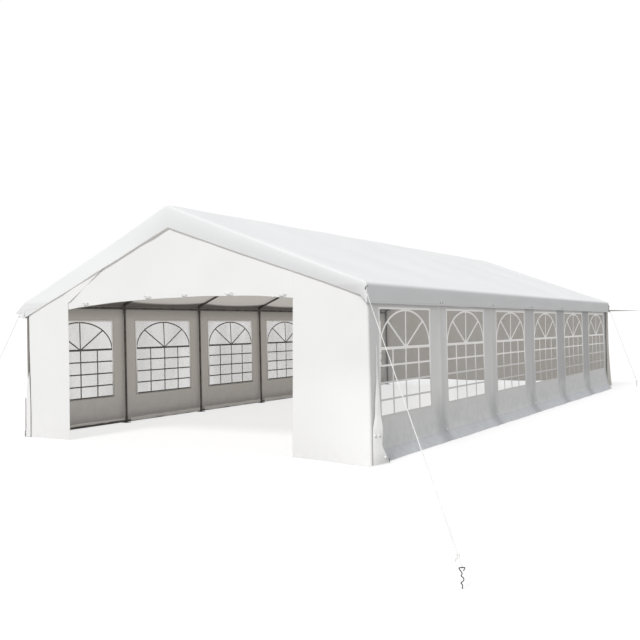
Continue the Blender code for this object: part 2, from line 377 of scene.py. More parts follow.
class Graph:
    """Short way to write a node tree."""

    def __init__(self, tree: NodeTree) -> None:
        """Work on a tree.

        Args:
            tree: The tree that the nodes go into.
        """
        self.tree = tree

    def node(self, kind: str, values: Optional[dict[Any, Any]] = None, **settings: Any) -> Node:
        """Add a node.

        Args:
            kind: Blender's name of the node type.
            values: Input socket to a constant, or to the output socket that feeds it.
            settings: Properties of the node itself.

        Returns:
            The node.
        """
        made = self.tree.nodes.new(kind)
        for key, value in settings.items():
            setattr(made, key, value)
        for key, value in (values or {}).items():
            socket = made.inputs[key]
            if isinstance(value, NodeSocket):
                self.tree.links.new(value, socket)
            else:
                socket.default_value = value
        return made

    def math(self, operation: str, *values: Any) -> NodeSocket:
        """Add a Math node and give its result."""
        return self.node("ShaderNodeMath", dict(enumerate(values)), operation=operation).outputs[0]

    def times(self, first: Any, second: Any) -> NodeSocket:
        """Add a Math node that multiplies."""
        return self.math("MULTIPLY", first, second)

    def vector(self, operation: str, *values: Any) -> NodeSocket:
        """Add a Vector Math node and give its result as a vector."""
        return self.node("ShaderNodeVectorMath", dict(enumerate(values)), operation=operation).outputs[0]

    def split(self, vector: NodeSocket) -> Any:
        """Give the three coordinates of a vector."""
        return self.node("ShaderNodeSeparateXYZ", {0: vector}).outputs

    def noise(self, place: NodeSocket, scale: Any, detail: float = 2.0,
              distortion: float = 0.0) -> NodeSocket:
        """Add a Noise Texture node and give its value."""
        values = {"Vector": place, "Scale": scale, "Detail": detail, "Distortion": distortion}
        return self.node("ShaderNodeTexNoise", values).outputs[0]

    def bump(self, height: NodeSocket, distance: float, strength: float, **more: NodeSocket) -> NodeSocket:
        """Add a Bump node and give its normal."""
        values = {"Height": height, "Distance": distance, "Strength": strength, **more}
        return self.node("ShaderNodeBump", values).outputs[0]

    def remap(self, value: Any, low: float, high: float, start: float = 0, end: float = 1) -> Any:
        """Add a smooth Map Range node and give its result."""
        sockets = {0: value, 1: low, 2: high, 3: start, 4: end}
        return self.node("ShaderNodeMapRange", sockets, interpolation_type="SMOOTHSTEP").outputs[0]

    def blend(self, share: Any, first: Any, second: Any) -> NodeSocket:
        """Add a colour Mix node and give its result."""
        sockets = {0: share, 6: first, 7: second}
        return self.node("ShaderNodeMix", sockets, data_type="RGBA").outputs[2]

    def link(self, source: NodeSocket, target: NodeSocket) -> None:
        """Join two sockets."""
        self.tree.links.new(source, target)


def effect(name: str, draw: Callable[[Graph, Any], dict[str, Any]], *outputs: str, **inputs: Any) -> NodeTree:
    """Build a shader node group once.

    Args:
        name: Name of the group.
        draw: Adds the nodes, given the graph and the group's inputs; gives what feeds each output.
        outputs: Names of the outputs: Color for a colour, any other for a number.
        inputs: Names and defaults of the inputs beside Place, each a number or a colour.

    Returns:
        The group.
    """
    tree = bpy.data.node_groups.new(name, "ShaderNodeTree")
    tree.interface.new_socket("Place", in_out="INPUT", socket_type="NodeSocketVector")
    for label, value in inputs.items():
        kind = "NodeSocketColor" if isinstance(value, tuple) else "NodeSocketFloat"
        tree.interface.new_socket(label, in_out="INPUT", socket_type=kind).default_value = value
    for label in outputs:
        kind = "NodeSocketColor" if label == "Color" else "NodeSocketFloat"
        tree.interface.new_socket(label, in_out="OUTPUT", socket_type=kind)
    graph = Graph(tree)
    start, end = graph.node("NodeGroupInput"), graph.node("NodeGroupOutput")
    for label, source in draw(graph, start.outputs).items():
        graph.link(source, end.inputs[label])
    return tree


class Effects:
    """Shader node groups that several finishes share."""

    THREADS = 330.0
    SPANGLE = 160.0
    BAY = 2.0
    EAVE_EDGE = (2.84, 2.93)
    SCALLOP = 0.10

    def __init__(self) -> None:
        """Build every group."""
        self.weave = effect("tape_weave", self._weave, "Height", Threads=self.THREADS)
        self.creases = effect("soft_creases", self._creases, "Height", Size=1.0)
        self.inner = effect("inner_side", self._inner, "Mask")
        self.eaves = effect("eave_shade", self._eaves, "Mask", Bay=self.BAY)
        self.soil = effect("ground_soil", self._soil, "Mask", Top=0.35)
        self.drift = effect("tone_drift", self._drift, "Color", Scale=1.0, Tone=WHITE, Other=WHITE)
        self.band = effect("height_band", self._band, "Mask", Low=0.0, High=1.0)
        self.rub = effect("pole_rub", self._rub, "Mask", Bay=self.BAY)
        self.scuffs = effect("scuffed_zinc", self._scuffs, "Mask", "Height", Scale=1.0)

    @staticmethod
    def _weave(graph: Graph, ins: Any) -> dict[str, Any]:
        """Flat tapes that pass over and under each other."""
        axes = graph.split(ins["Place"])
        turns = graph.times(ins["Threads"], math.pi)
        waves = [graph.math("SINE", graph.times(axes[i], turns)) for i in (0, 1)]
        return {"Height": graph.math("MULTIPLY_ADD", graph.times(*waves), 0.5, 0.5)}

    @staticmethod
    def _creases(graph: Graph, ins: Any) -> dict[str, Any]:
        """Soft dents, drawn out a little up and down."""
        scale = graph.math("DIVIDE", 1.0, ins["Size"])
        tall = graph.vector("MULTIPLY", ins["Place"], (1.0, 1.0, 0.45))
        return {"Height": graph.noise(tall, scale, 1.6, 0.5)}

    @staticmethod
    def _inner(graph: Graph, ins: Any) -> dict[str, Any]:
        """Faces that look into the tent, where daylight comes through the cloth."""
        facing = graph.node("ShaderNodeNewGeometry").outputs["Normal"]
        toward = graph.node("ShaderNodeVectorMath", {0: ins["Place"], 1: facing},
                            operation="DOT_PRODUCT")
        return {"Mask": graph.remap(toward.outputs["Value"], -0.4, 0.0, 1.0, 0.0)}

    @staticmethod
    def _eaves(graph: Graph, ins: Any) -> dict[str, Any]:
        """Daylight over the slopes, which ends in scallops where the cover meets the eave beams."""
        axes = graph.split(ins["Place"])
        phase = graph.times(graph.math("DIVIDE", axes[1], ins["Bay"]), math.pi)
        swing = graph.math("POWER", graph.math("ABSOLUTE", graph.math("SINE", phase)), 0.6)
        away = graph.math("SUBTRACT", graph.math("ABSOLUTE", axes[0]), graph.times(swing, Effects.SCALLOP))
        return {"Mask": graph.remap(away, *Effects.EAVE_EDGE, 1.0, 0.12)}

    @staticmethod
    def _band(graph: Graph, ins: Any) -> dict[str, Any]:
        """All that lies lower than a height: the mask of painted shade set by height."""
        axes = graph.split(ins["Place"])
        return {"Mask": graph.remap(axes[2], ins["Low"], ins["High"], 1.0, 0.0)}

    @staticmethod
    def _rub(graph: Graph, ins: Any) -> dict[str, Any]:
        """Painted shade by each pole: a strip just past it, strongest near the ground, a column round it that
        darkens towards the back, and a patch at its foot.

        Args:
            graph: The group's graph.
            ins: The group's inputs.

        Returns:
            What feeds each output.
        """
        axes = graph.split(ins["Place"])
        share = graph.math("FRACT", graph.math("DIVIDE", axes[1], ins["Bay"]))
        past = graph.times(share, ins["Bay"])
        edge = graph.times(graph.remap(past, 0.0, 0.02), graph.remap(past, 0.06, 0.30, 0.45, 0.0))
        marks = graph.times(edge, graph.remap(axes[2], 0.15, 0.95, 1.0, 0.40))
        near = graph.math("MINIMUM", past, graph.math("SUBTRACT", ins["Bay"], past))
        column = graph.times(graph.remap(near, 0.20, 0.32, 1.0, 0.0),
                            graph.remap(axes[2], 0.25, 0.60, 0.40, 1.0))
        shade = graph.times(column, graph.remap(axes[1], -4.8, 3.4))
        feet = graph.times(graph.remap(near, 0.04, 0.26, 0.85, 0.0),
                          graph.remap(axes[2], 0.12, 0.80, 1.0, 0.0))
        return {"Mask": graph.math("MAXIMUM", graph.math("MAXIMUM", marks, shade), feet)}

    @staticmethod
    def _soil(graph: Graph, ins: Any) -> dict[str, Any]:
        """Patches that darken the cloth from the ground up."""
        axes = graph.split(ins["Place"])
        low = graph.remap(axes[2], 0.0, ins["Top"], 1.0, 0.0)
        patches = graph.remap(graph.noise(ins["Place"], 9.0, 5.0), 0.3, 0.75, 0.5, 1.0)
        return {"Mask": graph.times(low, patches)}

    @staticmethod
    def _drift(graph: Graph, ins: Any) -> dict[str, Any]:
        """Slow change between two tones."""
        share = graph.remap(graph.noise(ins["Place"], ins["Scale"], 3.0), 0.3, 0.7)
        return {"Color": graph.blend(share, ins["Tone"], ins["Other"])}

    @staticmethod
    def _scuffs(graph: Graph, ins: Any) -> dict[str, Any]:
        """Zinc spangle with darker handling marks."""
        flakes = graph.node("ShaderNodeTexVoronoi", {"Vector": ins["Place"], "Scale": Effects.SPANGLE})
        worn = graph.remap(graph.noise(ins["Place"], ins["Scale"], 6.0), 0.42, 0.68)
        spangle = graph.times(flakes.outputs["Distance"], 0.35)
        return {"Mask": graph.math("ADD", graph.times(worn, 0.65), spangle),
                "Height": flakes.outputs["Distance"]}


class Surface:
    """A material in the making, on the object's own coordinates."""

    def __init__(self, name: str, **constants: Any) -> None:
        """Start a material.

        Args:
            name: Name of the material.
            constants: Socket names of the Principled shader, with _ for spaces, to plain values.
        """
        self.material = bpy.data.materials.new(name)
        self.material.use_nodes = True
        self.graph = Graph(self.material.node_tree)
        self.shader = self.material.node_tree.nodes["Principled BSDF"]
        for key, value in constants.items():
            self.shader.inputs[key.replace("_", " ")].default_value = value
        self.here = self.graph.node("ShaderNodeTexCoord").outputs

    def effect(self, tree: NodeTree, space: str = "Object", **values: Any) -> Any:
        """Place a shader node group and feed its sockets.

        Args:
            tree: The group.
            space: Coordinates that feed its Place.
            values: Input name to a plain value.

        Returns:
            The group's outputs.
        """
        made = self.graph.node("ShaderNodeGroup", None, node_tree=tree)
        self.graph.link(self.here[space], made.inputs["Place"])
        for key, value in values.items():
            made.inputs[key].default_value = value
        return made.outputs

    def feed(self, **sources: NodeSocket) -> None:
        """Link results to the shader, by socket names with _ for spaces."""
        for key, source in sources.items():
            self.graph.link(source, self.shader.inputs[key.replace("_", " ")])


@dataclass(frozen=True)
class Finish:
    """What the finishes have in common."""

    name: str
    tone: Triple
    other: Triple = (0.8, 0.8, 0.8)

    def drift(self, surface: Surface, effects: Effects, scale: float) -> NodeSocket:
        """Slow change between the finish's two tones."""
        tones = {"Tone": (*self.tone, 1), "Other": (*self.other, 1)}
        return surface.effect(effects.drift, Scale=scale, **tones)["Color"]

    def make(self, effects: Effects) -> Material:
        """Build the material.

        Args:
            effects: The shared node groups.

        Returns:
            The material.
        """
        raise NotImplementedError(self.name)


@dataclass(frozen=True)
class ClothFinish(Finish):
    """Coated woven sheet: tape weave, creases, darkening near the ground, painted shade by the poles and by
    height, and daylight through its inner side.
    """

    soil: float = 0.25
    soil_top: float = 0.35
    crease: float = 0.004
    crease_size: float = 0.55
    roughness: float = 0.55
    through: float = 0.045
    inside: Triple = (0.74, 0.715, 0.68)
    dirt: Triple = (0.36, 0.33, 0.29)
    band: tuple[float, float] = (0.0, 0.0)
    band_tone: Triple = (0.8, 0.8, 0.8)
    rub: float = 0.0
    rub_tone: Triple = (0.40, 0.40, 0.41)
    top_band: tuple[float, float] = (1.78, 1.96)
    top_shade: float = 0.74
    eaves: bool = False
    eave_tone: Triple = (0.20, 0.185, 0.17)
    daylight: Triple = (1.0, 0.955, 0.905)

    def make(self, effects: Effects) -> Material:
        """Build the material.

        Args:
            effects: The shared node groups.

        Returns:
            The material.
        """
        surface = Surface(self.name, Specular_IOR_Level=0.3, Sheen_Weight=0.06, Sheen_Roughness=0.5,
                          Emission_Strength=self.through)
        graph = surface.graph
        outer, under = self.drift(surface, effects, 0.8), (*self.inside, 1)
        share = graph.times(surface.effect(effects.soil, Top=self.soil_top)["Mask"], self.soil)
        # Painted shade below a set height: on the valances of the roof, and a bluish shade on the skirts of
        # the side walls.
        if self.band[1]:
            lower = surface.effect(effects.band, Low=self.band[0], High=self.band[1])["Mask"]
            outer = graph.blend(lower, outer, (*self.band_tone, 1))
        inner = surface.effect(effects.inner)["Mask"]
        lit = inner
        # Painted shade by each pole on the outer face, and painted shade over the top of the inner face.
        if self.rub:
            marks = surface.effect(effects.rub)["Mask"]
            outer = graph.blend(graph.times(marks, self.rub), outer, (*self.rub_tone, 1))
            lower = surface.effect(effects.band, Low=self.top_band[0], High=self.top_band[1])["Mask"]
            under = graph.blend(lower, (*(tone * self.top_shade for tone in self.inside), 1), under)
        if self.eaves:
            shade = surface.effect(effects.eaves)["Mask"]
            under = graph.blend(shade, (*self.eave_tone, 1), under)
            lit = graph.times(inner, shade)
        folds = surface.effect(effects.creases, Size=self.crease_size)["Height"]
        weave = surface.effect(effects.weave, "UV")["Height"]
        large = graph.bump(folds, self.crease, 1.0)
        surface.feed(Base_Color=graph.blend(share, graph.blend(inner, outer, under), (*self.dirt, 1)),
                     Emission_Color=graph.blend(lit, BLACK, (*self.daylight, 1)),
                     Roughness=graph.remap(folds, 0.2, 0.9, self.roughness - 0.07, self.roughness + 0.1),
                     Normal=graph.bump(weave, 0.00025, 0.35, Normal=large))
        return surface.material


@dataclass(frozen=True)
class FilmFinish(Finish):
    """Clear soft window film that clouds from one opacity to another."""

    clear: float = 0.20
    cloudy: float = 0.34

    def make(self, effects: Effects) -> Material:
        """Build the material.

        Args:
            effects: The shared node groups.

        Returns:
            The material.
        """
        surface = Surface(self.name, Base_Color=(*self.tone, 1), IOR=1.45, Roughness=0.12)
        folds = surface.effect(effects.creases, Size=0.65)["Height"]
        surface.feed(Alpha=surface.graph.remap(folds, 0.3, 0.7, self.clear, self.cloudy),
                     Normal=surface.graph.bump(folds, 0.01, 0.5))
        return surface.material


@dataclass(frozen=True)
class SteelFinish(Finish):
    """Zinc coated tube or dark wire, worn to its other tone where it is handled."""

    metallic: float = 0.8
    roughness: float = 0.45

    def make(self, effects: Effects) -> Material:
        """Build the material.

        Args:
            effects: The shared node groups.

        Returns:
            The material.
        """
        surface = Surface(self.name, Metallic=self.metallic)
        scuffs, graph = surface.effect(effects.scuffs, Scale=7.0), surface.graph
        mask = scuffs["Mask"]
        surface.feed(Base_Color=graph.blend(mask, (*self.tone, 1), (*self.other, 1)),
                     Roughness=graph.remap(mask, 0.1, 0.8, self.roughness - 0.1, self.roughness + 0.18),
                     Normal=graph.bump(scuffs["Height"], 0.0004, 0.25))
        return surface.material


@dataclass(frozen=True)
class PlainFinish(Finish):
    """Printed bar, cord, ball or strap: one tone that drifts, with a fine grain, and where given a painted
    glow from a height upwards.
    """

    roughness: float = 0.6
    grain: float = 400.0
    depth: float = 0.0002
    glow: float = 0.0
    glow_from: float = 0.75
    daylight: Triple = (1.0, 0.985, 0.96)

    def make(self, effects: Effects) -> Material:
        """Build the material.

        Args:
            effects: The shared node groups.

        Returns:
            The material.
        """
        surface = Surface(self.name, Specular_IOR_Level=0.3, Emission_Strength=self.glow)
        graph, place = surface.graph, surface.here["Object"]
        # Painted light: the glow brightens the part from glow_from upwards, as daylight on the upper bars.
        if self.glow:
            high = graph.remap(graph.split(place)[2], self.glow_from, self.glow_from + 0.4)
            surface.feed(Emission_Color=graph.blend(high, BLACK, (*self.daylight, 1)))
        fine = graph.noise(place, self.grain)
        surface.feed(Base_Color=self.drift(surface, effects, 3.0),
                     Roughness=graph.remap(fine, 0.2, 0.8, self.roughness - 0.08, self.roughness + 0.08),
                     Normal=graph.bump(fine, self.depth, 0.3))
        return surface.material


@dataclass
class Finishes:
    """All the materials of the tent."""

    effects: Effects = field(default_factory=Effects)

    def __post_init__(self) -> None:
        """Make each material once."""
        recipes = {
            # Roof: painted shade on the valances below 2.05 to 2.095 m, and painted shade on the inner face
            # by the eaves.
            "roof": ClothFinish("roof_sheet", (0.89, 0.90, 0.905), (0.91, 0.92, 0.925), soil=0.0,
                                crease=0.005, crease_size=0.9, through=0.24, band=(2.05, 2.095),
                                band_tone=(0.835, 0.84, 0.845), eaves=True),
            "wall": ClothFinish("wall_sheet", (0.88, 0.88, 0.875), (0.90, 0.90, 0.895), soil=0.085),
            # Side walls: the lower cloth darkens to a bluish grey up to 0.85 m, the skirt below 0.136 m gets
            # a bluish painted shade, and the cloth by each pole gets painted shade.
            "side": ClothFinish("side_sheet", (0.90, 0.895, 0.885), (0.92, 0.915, 0.905), soil=0.50,
                                soil_top=0.85, dirt=(0.50, 0.51, 0.53), band=(0.122, 0.136),
                                band_tone=(0.78, 0.80, 0.835), rub=0.66),
            "film_left": FilmFinish("cloudy_film", (0.80, 0.80, 0.795), clear=0.25, cloudy=0.38),
            "film_right": FilmFinish("clear_film", (0.86, 0.90, 0.96), clear=0.03, cloudy=0.09),
            # The tube's dark tone is partly painted shade: the galvanised tubes are darkened to their look in
            # the shade under the cover.
            "steel": SteelFinish("galvanised_tube", (0.145, 0.137, 0.129), (0.082, 0.077, 0.072), 0.35),
            "dark": SteelFinish("stake_wire", (0.045, 0.045, 0.047), (0.09, 0.088, 0.085), 0.6, 0.5),
            # The outer bars carry a painted glow from 0.75 m upwards.
            "bar": PlainFinish("bar_outside", (0.80, 0.79, 0.775), (0.84, 0.83, 0.815), glow=0.20),
            # The faces of the bars that look into the tent are dark as painted shade of bars seen against the
            # light.
            "bar_inside": PlainFinish("bar_inside", (0.14, 0.135, 0.13), (0.18, 0.175, 0.17)),
            "rope": PlainFinish("pale_rope", (0.86, 0.86, 0.84), (0.92, 0.92, 0.905), 0.8, 900.0, 0.0004),
            "ball": PlainFinish("ball_toggle", (0.84, 0.84, 0.83), (0.90, 0.90, 0.89), 0.35, 40.0),
            "tape": PlainFinish("hem_tape", (0.80, 0.80, 0.795), (0.86, 0.86, 0.855), 0.6, 700.0),
            "thread": PlainFinish("sewing_thread", (0.70, 0.70, 0.69), (0.78, 0.78, 0.77), 0.7, 900.0),
            "ring": SteelFinish("eyelet_ring", (0.42, 0.41, 0.40), (0.30, 0.29, 0.28), 0.9, 0.3),
        }
        self.made = {key: recipe.make(self.effects) for key, recipe in recipes.items()}

    def __getitem__(self, key: str) -> Material:
        """Give a material by its short name."""
        return self.made[key]


@dataclass(frozen=True)
class Recipe:
    """Geometry Nodes tree with named sizes that turns a carrier mesh or curve into a finished shape."""

    name: str
    sizes: dict[str, float]
    draw: Callable[[Graph, Any], NodeSocket]

    def tree(self, material: Material) -> NodeTree:
        """Build the tree.

        Args:
            material: Finish of the shape.

        Returns:
            The tree, with its sizes as inputs.
        """
        tree = bpy.data.node_groups.new(self.name, "GeometryNodeTree")
        tree.interface.new_socket("Carrier", in_out="INPUT", socket_type="NodeSocketGeometry")
        for label, value in self.sizes.items():
            socket = tree.interface.new_socket(label, in_out="INPUT", socket_type="NodeSocketFloat")
            socket.default_value = value
        tree.interface.new_socket("Shape", in_out="OUTPUT", socket_type="NodeSocketGeometry")
        graph = Graph(tree)
        start, end = graph.node("NodeGroupInput"), graph.node("NodeGroupOutput")
        whole = graph.node("GeometryNodeRealizeInstances", {0: self.draw(graph, start.outputs)})
        dressed = graph.node("GeometryNodeSetMaterial", {0: whole.outputs[0], "Material": material})
        graph.link(dressed.outputs[0], end.inputs[0])
        return tree

    def apply(self, obj: Object, material: Material, **sizes: float) -> Object:
        """Turn the carrier into the shape.

        Args:
            obj: The carrier object, a mesh or a curve.
            material: Finish of the shape.
            sizes: Values for the named inputs, with _ for spaces.

        Returns:
            The finished object, a plain mesh.
        """
        tree = self.tree(material)
        maker = obj.modifiers.new(self.name, "NODES")
        maker.node_group = tree
        for item in tree.interface.items_tree:
            key = item.name.replace(" ", "_")
            if item.in_out == "INPUT" and key in sizes:
                maker[item.identifier] = float(sizes[key])
        graph = bpy.context.evaluated_depsgraph_get()
        mesh = bpy.data.meshes.new_from_object(obj.evaluated_get(graph))
        mesh.name = obj.name
        made = new_object(obj.name + "_made", mesh)
        carrier, name = obj.data, obj.name
        bpy.data.objects.remove(obj)
        (bpy.data.curves if isinstance(carrier, bpy.types.Curve) else bpy.data.meshes).remove(carrier)
        made.name = name
        bpy.data.node_groups.remove(tree)
        return made


class Small(Enum):
    """Small parts that are repeated over the tent."""

    BOLT = "bolt"
    RING = "ring"
    BALL = "ball"
    STITCH = "stitch"
    TOOTH = "tooth"


class SmallShapes:
    """How each small part is drawn, lying at the origin with +Z outwards and +X along its line."""

    @staticmethod
    def bolt(graph: Graph, ins: Any) -> NodeSocket:
        """Hexagon head over a round washer.

        Args:
            graph: The graph.
            ins: Its inputs.

        Returns:
            The shape.
        """
        size = ins["Size"]
        washer = graph.node("GeometryNodeMeshCylinder", {"Vertices": 14, "Radius": size,
                                                         "Depth": graph.times(size, 0.3)})
        head = graph.node("GeometryNodeMeshCylinder", {"Vertices": 6, "Radius": graph.times(size, 0.72),
                                                       "Depth": graph.times(size, 0.9)})
        lift = graph.node("ShaderNodeCombineXYZ", {2: graph.times(size, 0.5)})
        raised = graph.node("GeometryNodeTransform", {0: head.outputs[0], "Translation": lift.outputs[0]})
        both = graph.node("GeometryNodeJoinGeometry")
        graph.link(washer.outputs[0], both.inputs[0])
        graph.link(raised.outputs[0], both.inputs[0])
        return both.outputs[0]

    @staticmethod
    def ring(graph: Graph, ins: Any) -> NodeSocket:
        """Rolled eyelet ring."""
        size = ins["Size"]
        path = graph.node("GeometryNodeCurvePrimitiveCircle", {"Resolution": 12, "Radius": size})
        wire = graph.node("GeometryNodeCurvePrimitiveCircle", {"Resolution": 6,
                                                               "Radius": graph.times(size, 0.3)})
        return graph.node("GeometryNodeCurveToMesh", {0: path.outputs[0], 1: wire.outputs[0]}).outputs[0]

    @staticmethod
    def ball(graph: Graph, ins: Any) -> NodeSocket:
        """Plastic ball of a bungee."""
        return graph.node("GeometryNodeMeshUVSphere", {"Segments": 14, "Rings": 9,
                                                       "Radius": ins["Size"]}).outputs[0]

    @staticmethod
    def stitch(graph: Graph, ins: Any) -> NodeSocket:
        """Short rounded bar along its line, such as a stitch."""
        size = ins["Size"]
        body = graph.node("GeometryNodeMeshCylinder", {"Vertices": 5, "Depth": size,
                                                       "Radius": graph.times(size, 0.13)})
        lying = graph.node("GeometryNodeTransform", {0: body.outputs[0], "Rotation": (0, math.pi / 2, 0)})
        return lying.outputs[0]

    @staticmethod
    def tooth(graph: Graph, ins: Any) -> NodeSocket:
        """Zip tooth across its line."""
        size = ins["Size"]
        parts = [graph.times(size, share) for share in (0.5, 1.3, 0.45)]
        extent = graph.node("ShaderNodeCombineXYZ", dict(enumerate(parts)))
        return graph.node("GeometryNodeMeshCube", {"Size": extent.outputs[0]}).outputs[0]


@dataclass
class Repeats:
    """One kind of small part, set on a list of places by Geometry Nodes."""

    kind: Small
    size: float
    places: list[tuple[Vector, Vector, Vector]] = field(default_factory=list)

    def put(self, place: Sequence[float], out: Sequence[float], along: Sequence[float] = (0, 0, 1)) -> None:
        """Add a place.

        Args:
            place: Middle of the part.
            out: Direction that it faces.
            along: Direction of its line.
        """
        self.places.append((Vector(place), Vector(out).normalized(), Vector(along)))

    def line(self, points: np.ndarray, out: Sequence[float], pitch: float) -> None:
        """Add places along a line of points.

        Args:
            points: The line.
            out: Direction that the parts face.
            pitch: Distance from one to the next.
        """
        steps = np.linalg.norm(np.diff(points, axis=0), axis=1)
        far = np.concatenate([[0], np.cumsum(steps)])
        stops = np.arange(pitch / 2, far[-1], pitch)
        spots = np.stack([np.interp(stops, far, points[:, i]) for i in range(3)], axis=1)
        ahead = np.stack([np.interp(stops + pitch / 4, far, points[:, i]) for i in range(3)], axis=1)
        for spot, forward in zip(spots, ahead):
            if np.linalg.norm(forward - spot) > 1e-6:
                self.put(spot, out, forward - spot)

    def _draw(self, graph: Graph, ins: Any) -> NodeSocket:
        """Instance the part on the carrier's points."""
        shape = getattr(SmallShapes, self.kind.value)(graph, ins)
        turn = graph.node("GeometryNodeInputNamedAttribute", {0: "turn"}, data_type="FLOAT_VECTOR")
        angle = graph.node("FunctionNodeEulerToRotation", {0: turn.outputs[0]})
        placed = graph.node("GeometryNodeInstanceOnPoints", {
            "Points": ins[0], "Instance": shape, "Rotation": angle.outputs[0]})
        return placed.outputs[0]

    def build(self, name: str, material: Material, slot: str) -> Optional[Object]:
        """Make all the parts in one piece.

        Args:
            name: Name of the piece.
            material: Its finish.
            slot: The record's material slot; not used.

        Returns:
            The finished piece.
        """
        mesh = bpy.data.meshes.new(name)
        mesh.from_pydata([tuple(place) for place, _, _ in self.places], [], [])
        turns = []
        for _, out, along in self.places:
            first = (along - out * along.dot(out)).normalized()
            turns += list(Matrix((first, out.cross(first), out)).transposed().to_euler())
        mesh.attributes.new("turn", "FLOAT_VECTOR", "POINT").data.foreach_set("vector", turns)
        recipe = Recipe(self.kind.value, {"Size": self.size}, self._draw)
        obj = recipe.apply(new_object(name, mesh), material, Size=self.size)
        obj.data.shade_smooth()
        obj.data.set_sharp_from_angle(angle=SMALL_ANGLE)
        return adopt(obj, slot)


@dataclass
class LaidRope:
    """Rope of three strands that wind round each other, along a line."""

    radius: float = 0.0042
    lay: float = 0.030
    strands: int = 3
    step: float = 0.006

    def _draw(self, graph: Graph, ins: Any) -> NodeSocket:
        """Wind each strand round the carrier curve.

        Args:
            graph: The graph.
            ins: Its inputs: the carrier and the rope's sizes.

        Returns:
            The shape.
        """
        even = graph.node("GeometryNodeResampleCurve", {"Curve": ins[0], "Length": ins["Step"]},
                          mode="LENGTH")
        far = graph.node("GeometryNodeSplineParameter").outputs["Length"]
        turns = graph.math("DIVIDE", far, ins["Lay"])
        tangent, normal = graph.node("GeometryNodeInputTangent"), graph.node("GeometryNodeInputNormal")
        side = graph.vector("CROSS_PRODUCT", tangent.outputs[0], normal.outputs[0])
        thick = graph.times(ins["Radius"], 0.54)
        profile = graph.node("GeometryNodeCurvePrimitiveCircle", {"Resolution": 6, "Radius": thick})
        away = graph.times(ins["Radius"], 0.5)
        whole = graph.node("GeometryNodeJoinGeometry")
        for index in range(self.strands):
            angle = graph.math("MULTIPLY_ADD", turns, 2 * math.pi, 2 * math.pi * index / self.strands)
            parts = []
            for operation, axis in (("COSINE", normal.outputs[0]), ("SINE", side)):
                share = graph.times(graph.math(operation, angle), away)
                parts.append(graph.node("ShaderNodeVectorMath", {0: axis, "Scale": share},
                                        operation="SCALE").outputs[0])
            offset = graph.vector("ADD", *parts)
            strand = graph.node("GeometryNodeSetPosition", {0: even.outputs[0], "Offset": offset})
            tube = graph.node("GeometryNodeCurveToMesh", {0: strand.outputs[0], 1: profile.outputs[0],
                                                          "Fill Caps": True})
            graph.link(tube.outputs[0], whole.inputs[0])
        return whole.outputs[0]

    def build(self, name: str, lines: Sequence[np.ndarray], material: Material, *nodes: str,
              slot: str = "guy_rope") -> Object:
        """Make the rope.

        Args:
            name: Name of the piece.
            lines: Lines that the rope follows.
            material: Its finish.
            nodes: The CAD nodes that it stands for.
            slot: The record's material slot; not used.

        Returns:
            The finished piece.
        """
        curve = bpy.data.curves.new(name, "CURVE")
        curve.dimensions = "3D"
        for line in lines:
            spline = curve.splines.new("POLY")
            spline.points.add(len(line) - 1)
            flat = np.concatenate([line, np.ones((len(line), 1))], axis=1)
            spline.points.foreach_set("co", flat.ravel())
        sizes = {"Radius": self.radius, "Lay": self.lay, "Step": self.step}
        obj = Recipe("laid_rope", sizes, self._draw).apply(new_object(name, curve), material, **sizes)
        obj.data.shade_smooth()
        return adopt(obj, slot, *nodes)


def smooth_path(points: Sequence[Sequence[float]], step: float = 0.004) -> np.ndarray:
    """Round path through some points.

    Args:
        points: The points to pass.
        step: Distance between the points of the result.

    Returns:
        The path.
    """
    knots = np.array(points, float)
    padded = np.concatenate([[2 * knots[0] - knots[1]], knots, [2 * knots[-1] - knots[-2]]])
    path = [knots[:1]]
    for i in range(1, len(padded) - 2):
        a, b, c, d = padded[i - 1:i + 3]
        cells = max(2, int(np.linalg.norm(c - b) / step))
        t = np.linspace(0, 1, cells + 1)[1:, None]
        path.append(0.5 * (2 * b + (c - a) * t + (2 * a - 5 * b + 4 * c - d) * t ** 2
                           + (3 * b - a - 3 * c + d) * t ** 3))
    return np.concatenate(path)


@dataclass
class TubeFrame:
    """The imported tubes, connectors, foot plates and stakes, which only get their finishes."""

    finishes: Finishes

    def build(self) -> None:
        """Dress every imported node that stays."""
        for name, node in frame["nodes"].items():
            kept = name.startswith(("base_rail", "leg_", "eave_beam", "rafter_", "ridge_beam"))
            if kept or name.startswith("ground_stake"):
                node.data.materials.clear()
                node.data.materials.append(self.finishes["steel" if kept else "dark"])
        log.info("tube frame dressed")


